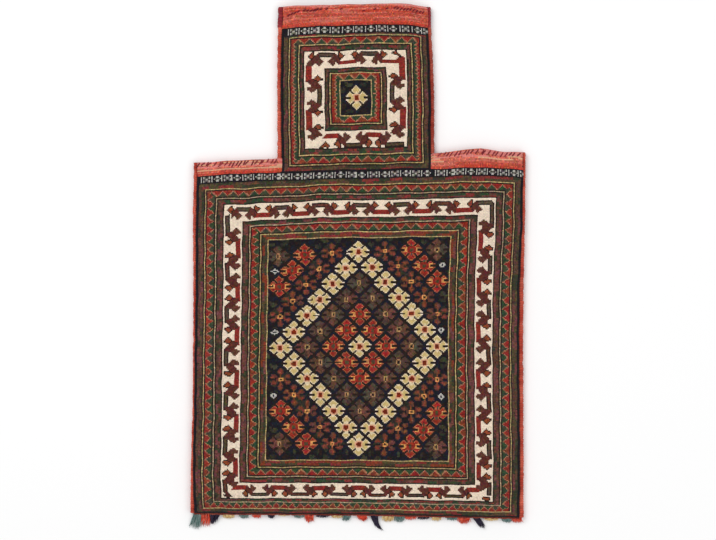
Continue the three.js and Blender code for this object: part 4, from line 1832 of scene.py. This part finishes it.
BODY_RUNS: dict[bool, tuple[Point, ...]] = {
    True: ((0.0, 5.2), (0.1, 3.6), (0.3, 2.9), (0.5, 2.9), (0.65, 3.9), (1.0, 4.6)),
    False: (
        (0.0, 5.8), (0.13, 5.3), (0.31, 5.4), (0.48, 5.8), (0.66, 6.0), (0.83, 4.2), (0.95, 3.8), (1.0, 3.6)),
}
NECK_RUNS: dict[bool, tuple[Point, ...]] = {
    True: ((0.0, 5.8), (0.5, 4.9), (1.0, 5.5)),
    False: ((0.0, 5.0), (0.5, 4.8), (1.0, 4.4)),
}
WRAP_RUNS: dict[bool, tuple[Point, ...]] = {
    True: ((0.0, 6.2), (1.0, 6.8)),
    False: ((0.0, 4.4), (1.0, 4.0)),
}
HEM_RUN: tuple[Point, ...] = ((0.0, 3.0), (1.0, 3.0))


@dataclass
class EdgeBindings:
    """Overcasting that joins the front to the back, and the dark wraps at the mouth."""

    form: BagForm
    tube: YarnTube = YarnTube(14)
    steps_per_turn: int = 5
    overlap: float = 0.7
    wrap_length: float = 22.0
    wander: float = 0.22
    plumpness: float = 0.05
    seed: int = 31
    red: TurnedYarn = TurnedYarn(
        "binding_wool", colour=(170, 58, 42), pale=(214, 104, 82), unevenness=0.3, mottle=0.5)
    crimson: TurnedYarn = TurnedYarn("stitch_wool", colour=(112, 26, 40), pale=(164, 58, 60), mottle=0.5)

    def paths(self) -> list[tuple[EdgeRun, np.ndarray, np.ndarray]]:
        """List the overcast edges.

        Returns:
            Each run with the x and y of the woven edge that it covers.
        """
        form = self.form
        share = np.linspace(0.0, 1.0, 40)
        neck_low = form.band_rows / (form.neck_rows + form.mouth_rows)
        runs = []
        for left in (True, False):
            side = "left" if left else "right"
            out = (-1.0, 0.0) if left else (1.0, 0.0)
            edge = form.left if left else form.right
            corner = 0.0 if left else 1.0
            rise = blend(form.bottom(corner), form.shoulder(np.array(corner)), share)
            body = EdgeRun(
                f"{side}_side_overcasting", f"body_binding_{side}", "binding_wool", BODY_RUNS[left], out)
            runs.append((body, edge(share), rise))
            neck_edge = form.neck_left if left else form.neck_right
            foot = form.shoulder(np.array((form.neck_from if left else form.neck_to) / form.columns))
            mouth = form.mouth(corner)
            top = mouth - self.wrap_length * MM
            bend = 1.0 - (1.0 - neck_low) * self.wrap_length * MM / (mouth - foot)
            neck = EdgeRun(
                f"{side}_neck_overcasting", f"neck_binding_{side}", "binding_wool", NECK_RUNS[left], out,
                tone=1.0 if left else 0.84)
            runs.append((neck, neck_edge(blend(neck_low, bend, share)), blend(foot, top, share)))
            wrap = EdgeRun(
                f"{side}_mouth_wrap", f"mouth_wrap_{side}", "stitch_wool", WRAP_RUNS[left], out, pitch=4.0)
            runs.append((wrap, neck_edge(blend(bend, 1.0, share)), blend(top, mouth, share)))
        along = blend(form.left(0.0), form.right(0.0), share)
        hem = EdgeRun(
            "bottom_overcasting", "bottom_binding", "binding_wool", HEM_RUN, (0.0, -1.0), pitch=2.4,
            half_height=3.6, tone=0.68)
        runs.append((hem, along, form.bottom(share)))
        return runs

    def build(self) -> list[bpy.types.Object]:
        """Overcast every edge.

        Returns:
            One piece for each edge.
        """
        pieces = []
        for number, (run, x, y) in enumerate(self.paths()):
            random = np.random.default_rng(self.seed + number)
            bm = bmesh.new()
            self.overcast(bm, run, x, y, random)
            self.tube.close(bm)
            dye = self.red if run.slot == "binding_wool" else self.crimson
            tones = [tuple(round(part * run.tone) for part in shade) for shade in (dye.colour, dye.pale)]
            finish = replace(dye, colour=tones[0], pale=tones[1])
            pieces.append(make_piece(bm, run.name, run.slot, [run.node], finish))
        return pieces

    def overcast(
        self, bm: bmesh.types.BMesh, run: EdgeRun, x: np.ndarray, y: np.ndarray, random: np.random.Generator
    ) -> None:
        """Wind one edge.

        Args:
            bm: The shape to add to.
            run: The edge.
            x: Places of the woven edge from left to right in metres.
            y: Places of the woven edge from bottom to top in metres.
            random: Source of unevenness.
        """
        length = float(np.hypot(np.diff(x), np.diff(y)).sum())
        turns = max(round(length / (run.pitch * MM)), 3)
        steps = turns * self.steps_per_turn + 1
        share = np.linspace(0.0, 1.0, steps)
        marks = np.linspace(0.0, 1.0, len(x))
        ends = np.arange(turns + 1)
        wander = np.interp(share * turns, ends, random.normal(0.0, self.wander, turns + 1)) * MM
        stations, widths = zip(*run.widths)
        width = np.interp(share, stations, widths) * MM
        shift = width / 2.0 - self.overlap * MM + wander
        out = np.array([*run.outward, 0.0])
        middle = np.stack([
            np.interp(share, marks, x) + out[0] * shift,
            np.interp(share, marks, y) + out[1] * shift,
            np.full(steps, run.half_height * MM),
        ], axis=1)
        plump = 1.0 + np.interp(share * turns, ends, random.normal(0.0, self.plumpness, turns + 1))
        across = out[None, :] * (width / 2.0 * plump)[:, None]
        up = np.array([0.0, 0.0, 1.0])[None, :] * np.full((steps, 1), run.half_height * MM)
        self.tube.lay(bm, middle, across, up, share * turns, ridge=0.13, slant=0.8)


@dataclass
class ShoulderStitching:
    """Dark slanted whip stitches along the tops of the shoulders."""

    form: BagForm
    finish: TurnedYarn = TurnedYarn("whip_thread", colour=(118, 34, 44), pale=(166, 66, 70))
    tube: YarnTube = YarnTube(8)
    pitches: Point = (4.1, 4.6)
    reach: float = 5.6
    slant: float = 3.6
    radius: float = 0.72
    seed: int = 41

    def build(self) -> list[bpy.types.Object]:
        """Sew both shoulders.

        Returns:
            One piece for each shoulder.
        """
        form = self.form
        spans = (
            ("left", 0.005, form.neck_from / form.columns - 0.008),
            ("right", form.neck_to / form.columns + 0.03, 0.995),
        )
        pieces = []
        for number, (side, start, stop) in enumerate(spans):
            random = np.random.default_rng(self.seed + number)
            width = (stop - start) * (form.right(1.0) - form.left(1.0))
            count = round(float(width) / (self.pitches[number] * MM))
            bm = bmesh.new()
            for stitch in range(count):
                share = start + (stop - start) * (stitch + 0.5 + random.normal(0.0, 0.2)) / count
                self.stitch(bm, share, random)
            self.tube.close(bm)
            pieces.append(make_piece(
                bm, f"{side}_shoulder_stitches", "stitch_wool", [f"shoulder_stitching_{side}"], self.finish))
        return pieces

    def stitch(self, bm: bmesh.types.BMesh, share: float, random: np.random.Generator) -> None:
        """Lay one stitch over the edge.

        Args:
            bm: The shape to add to.
            share: Where it crosses the edge, by the share of the body's width.
            random: Source of unevenness.
        """
        form = self.form
        reach = self.reach * MM * (1.0 + random.normal(0.0, 0.18))
        lean = self.slant * MM * (1.0 + random.normal(0.0, 0.2))
        steps = np.linspace(0.0, 1.0, 9)
        edge_x = float(blend(form.left(1.0), form.right(1.0), share))
        edge_y = float(form.shoulder(np.array(share)))
        x = edge_x - lean * steps
        y = edge_y - reach * (0.06 + steps) + 0.3 * MM * np.sin(5.0 * steps + lean / MM)
        lift = np.interp(steps, (0.0, 0.15, 0.85, 1.0), (-0.4, 0.6, 0.6, -0.6))
        z = form.height(x, y) + self.radius * MM * lift
        radii = self.radius * MM * np.interp(steps, (0.0, 0.15, 0.8, 1.0), (0.7, 1.0, 1.0, 0.6))
        self.tube.thread(bm, np.stack([x, y, z], axis=1), radii, 5.0, ridge=0.12, slant=0.5)


@dataclass
class HemStitches:
    """Dark running stitches across the band at the mouth."""

    form: BagForm
    finish: TurnedYarn = TurnedYarn("hem_thread", colour=(100, 18, 36), pale=(140, 40, 50))
    tube: YarnTube = YarnTube(8)
    radius: float = 0.75
    marks: tuple[tuple[float, float, float, float], ...] = (
        (0.04, 9.4, 3.6, 2.4), (0.062, 8.4, 3.4, 2.6), (0.085, 7.6, 3.8, 2.4), (0.108, 6.6, 3.2, 2.2),
        (0.15, 5.4, 3.4, 1.2), (0.172, 6.0, 3.4, 2.0), (0.195, 6.2, 3.4, 2.2), (0.218, 5.6, 3.2, 2.4),
        (0.238, 5.0, 3.2, 2.2), (0.262, 4.6, 3.4, 0.6), (0.303, 4.4, 2.8, 1.2), (0.4, 4.6, 3.0, 0.8),
        (0.557, 7.2, 3.0, 1.0), (0.634, 5.8, 3.0, 1.4), (0.717, 5.4, 2.8, 1.6), (0.772, 4.6, 3.0, 1.8),
        (0.79, 5.2, 3.2, 2.2), (0.812, 5.6, 3.4, 2.8), (0.834, 5.8, 3.4, 3.0), (0.856, 5.8, 3.2, 3.0),
        (0.878, 5.6, 3.0, 2.8), (0.9, 6.2, 3.0, 2.6), (0.922, 6.5, 2.8, 2.8), (0.945, 6.7, 2.8, 2.6),
        (0.966, 6.9, 2.6, 2.6),
    )

    def build(self) -> bpy.types.Object:
        """Sew the hem.

        Returns:
            The piece.
        """
        bm = bmesh.new()
        for share, drop, run, rise in self.marks:
            x = float(blend(self.form.neck_left(0.95), self.form.neck_right(0.95), share))
            y = float(self.form.mouth(np.array(share))) - drop * MM
            steps = np.linspace(-0.5, 0.5, 7)
            xs, ys = x + run * MM * steps, y + rise * MM * steps
            dip = np.where(np.abs(steps) > 0.4, -0.9, 0.45) * self.radius * MM
            zs = self.form.height(xs, ys) + dip + 0.2 * MM
            radii = np.full(7, self.radius * MM) * np.interp(np.abs(steps), (0.2, 0.5), (1.0, 0.6))
            self.tube.thread(bm, np.stack([xs, ys, zs], axis=1), radii, 4.0, ridge=0.12, slant=0.5)
        self.tube.close(bm)
        return make_piece(bm, "mouth_hem_stitches", "stitch_wool", [], self.finish)


class TuftDye(Enum):
    """Dyes of the tufts, in the order in which they repeat, with a paler one that is mixed in patches."""

    TEAL = ((96, 130, 126), (142, 158, 152))
    RED = ((214, 66, 44), (234, 112, 86))
    NAVY = ((34, 28, 48), (66, 56, 78))
    YELLOW = ((228, 190, 124), (240, 220, 170))


@dataclass(frozen=True)
class TuftCut:
    """One tuft: its middle and width at the edge, its fall, and how far its end strays and spreads."""

    middle: float
    width: float
    fall: float
    stray: float = 0.0
    spread: float = 0.0
    curl: float = 0.0


TUFT_CUTS: tuple[TuftCut, ...] = (
    TuftCut(-173.5, 8.0, 17.5, -3.5, 4.5), TuftCut(-166.4, 9.0, 15.0, 0.3, 1.0),
    TuftCut(-154.0, 13.0, 12.0, -4.5, -5.0), TuftCut(-140.8, 12.0, 6.4, 0.2),
    TuftCut(-123.0, 9.0, 6.2, -1.2, 0.5), TuftCut(-109.9, 10.0, 5.8, 0.0, -1.0),
    TuftCut(-94.1, 8.6, 6.0, 0.2, -1.5), TuftCut(-80.0, 10.5, 3.6), TuftCut(-63.6, 10.5, 5.4, -0.5),
    TuftCut(-52.8, 10.5, 10.0, 0.6, -1.5), TuftCut(-37.5, 14.0, 4.8, -1.0), TuftCut(-22.3, 12.5, 5.4),
    TuftCut(-10.3, 9.6, 8.0, -3.0, -1.0), TuftCut(3.8, 13.5, 8.0, 3.0, -3.0),
    TuftCut(18.5, 9.5, 17.0, 1.0, -3.6, 6.0), TuftCut(33.2, 12.5, 8.0), TuftCut(45.7, 9.6, 8.4, 0.0, 0.8),
    TuftCut(57.7, 11.5, 5.6, 0.6), TuftCut(73.4, 12.5, 5.0, -2.0), TuftCut(86.5, 9.6, 6.4),
    TuftCut(102.8, 11.5, 5.4, 0.8), TuftCut(115.3, 12.5, 8.6, 1.2), TuftCut(127.3, 8.0, 13.0, 10.5, -1.0),
    TuftCut(146.3, 14.5, 4.8), TuftCut(159.3, 11.0, 6.4, 5.0, -1.0), TuftCut(173.5, 10.5, 6.2, 1.0),
)


@dataclass
class TuftRow:
    """Short tufts of yarn along the bottom edge."""

    form: BagForm
    tube: YarnTube = YarnTube(5)
    strands_per_width: float = 5.2
    strand_radius: float = 0.36
    root: float = 1.4
    turn: float = 1.4
    longest: float = 1.1
    shortest: float = 0.78
    side_loss: float = 0.2
    root_levels: Point = (1.2, 6.6)
    tip_levels: Point = (0.6, 3.6)
    lowest: float = 0.45
    seed: int = 51

    def build(self) -> list[bpy.types.Object]:
        """Knot in every tuft.

        Returns:
            One piece for each tuft.
        """
        pieces = []
        dyes = list(TuftDye)
        for number, cut in enumerate(TUFT_CUTS, start=1):
            dye = dyes[(number - 1) % len(dyes)]
            finish = TurnedYarn(
                f"tuft_{dye.name.lower()}", colour=dye.value[0], pale=dye.value[1], relief=0.2, patches=260.0)
            bm = bmesh.new()
            self.tuft(bm, cut, np.random.default_rng(self.seed + number))
            self.tube.close(bm)
            node = f"tuft_{number:02d}"
            pieces.append(make_piece(bm, f"yarn_{node}", finish.name, [node], finish))
        return pieces

    def tuft(self, bm: bmesh.types.BMesh, cut: TuftCut, random: np.random.Generator) -> None:
        """Lay the strands of one tuft.

        Args:
            bm: The shape to add to.
            cut: Its shape.
            random: Source of unevenness.
        """
        form = self.form
        share = np.clip((cut.middle * MM - form.left(0.0)) / (form.right(0.0) - form.left(0.0)), 0.0, 1.0)
        edge = float(form.bottom(share))
        steps = np.linspace(0.0, 1.0, 7)
        for _ in range(round(cut.width * self.strands_per_width)):
            side = random.uniform(-1.0, 1.0)
            phase = random.uniform(0.0, 2.0 * math.pi)
            full = self.longest * cut.fall * (1.0 - self.side_loss * side * side)
            fall = full * random.uniform(self.shortest, 1.0)
            run = fall / cut.fall
            x = cut.middle + side * cut.width / 2.0 + (cut.stray + side * cut.spread) * run * steps
            waver = 0.3 * np.sin(6.0 * steps + phase) + random.normal(0.0, 0.8) * steps
            x += cut.curl * (run * steps) ** 3 + waver * steps
            y = edge / MM + self.root - (fall + self.root) * steps
            z = blend(random.uniform(*self.root_levels), random.uniform(*self.tip_levels), ease(steps))
            z += 0.3 * np.sin(7.0 * steps + phase)
            radii = self.strand_radius * MM * np.interp(steps, (0.0, 0.7, 1.0), (1.0, 1.0, 0.3))
            path = np.stack([x, y, np.maximum(z, self.lowest)], axis=1) * MM
            self.tube.thread(bm, path, radii, fall / self.turn, ridge=0.18, slant=1.0)


@dataclass
class Studio:
    """White floor, soft lamps and a camera that looks straight down."""

    middle: Point = (0.00055, -0.00026)
    lens: float = 100.0
    sensor: float = 36.0
    view_width: float = 0.7787
    object_level: float = 0.012
    floor_size: float = 6.0
    sky: float = 0.6
    lamps: tuple[tuple[float, float, float, float, float], ...] = (
        (-1.2, 1.3, 2.3, 1.6, 34.0),
        (1.3, -0.6, 2.2, 2.0, 16.0),
    )

    def build(self) -> None:
        """Set up the floor, the light and the camera."""
        self.floor()
        self.light()
        self.camera()

    def floor(self) -> None:
        """Lay the white floor."""
        bm = bmesh.new()
        bmesh.ops.create_grid(bm, x_segments=2, y_segments=2, size=self.floor_size)
        mesh = bpy.data.meshes.new("floor")
        bm.to_mesh(mesh)
        bm.free()
        paper = bpy.data.materials.new("white_paper")
        paper.use_nodes = True
        shader = paper.node_tree.nodes["Principled BSDF"]
        shader.inputs["Base Color"].default_value = (0.96, 0.96, 0.96, 1.0)
        shader.inputs["Roughness"].default_value = 1.0
        shader.inputs["Specular IOR Level"].default_value = 0.0
        mesh.materials.append(paper)
        floor = bpy.data.objects.new("floor", mesh)
        bpy.context.scene.collection.objects.link(floor)

    def light(self) -> None:
        """Hang soft lamps and light the sky."""
        world = bpy.context.scene.world or bpy.data.worlds.new("studio")
        bpy.context.scene.world = world
        world.use_nodes = True
        bench = NodeBench(world.node_tree)
        sky = world.node_tree.nodes["Background"]
        sky.inputs["Color"].default_value = (1.0, 1.0, 1.0, 1.0)
        path = bench.add("ShaderNodeLightPath")
        seen = bench.math("MAXIMUM", path.outputs["Is Camera Ray"], path.outputs["Is Glossy Ray"])
        seen = bench.math("MAXIMUM", seen, path.outputs["Is Transmission Ray"])
        level = bench.math("ADD", bench.math("MULTIPLY", seen, 1.0 - self.sky), self.sky)
        bench.link(level, sky.inputs["Strength"])
        for number, (x, y, z, size, watts) in enumerate(self.lamps, start=1):
            lamp = bpy.data.lights.new(f"softbox_{number}", "AREA")
            lamp.shape = "SQUARE"
            lamp.size = size
            lamp.energy = watts
            holder = bpy.data.objects.new(lamp.name, lamp)
            holder.location = (x, y, z)
            holder.rotation_euler = (-Vector((x, y, z))).to_track_quat("-Z", "Y").to_euler()
            bpy.context.scene.collection.objects.link(holder)

    def camera(self) -> None:
        """Hang the camera above the bag."""
        camera = bpy.data.cameras.new("overhead")
        camera.lens = self.lens
        camera.sensor_width = self.sensor
        holder = bpy.data.objects.new("overhead", camera)
        distance = self.view_width * self.lens / self.sensor
        holder.location = (*self.middle, distance + self.object_level)
        bpy.context.scene.collection.objects.link(holder)
        bpy.context.scene.camera = holder


def main() -> None:
    """Build the bag and its studio in order."""
    logging.basicConfig(level=logging.INFO, format="%(name)s: %(message)s")
    bpy.context.scene.view_settings.view_transform = "Standard"
    form = BagForm()
    Studio().build()
    front = FrontPanel(form, "knotted_front", 1, 8).build()
    back = BackPanel(form, "plain_back", 4, 4).build()
    bindings = EdgeBindings(form).build()
    stitches = ShoulderStitching(form).build()
    hem = HemStitches(form).build()
    tufts = TuftRow(form).build()


if __name__ == "__main__":
    main()
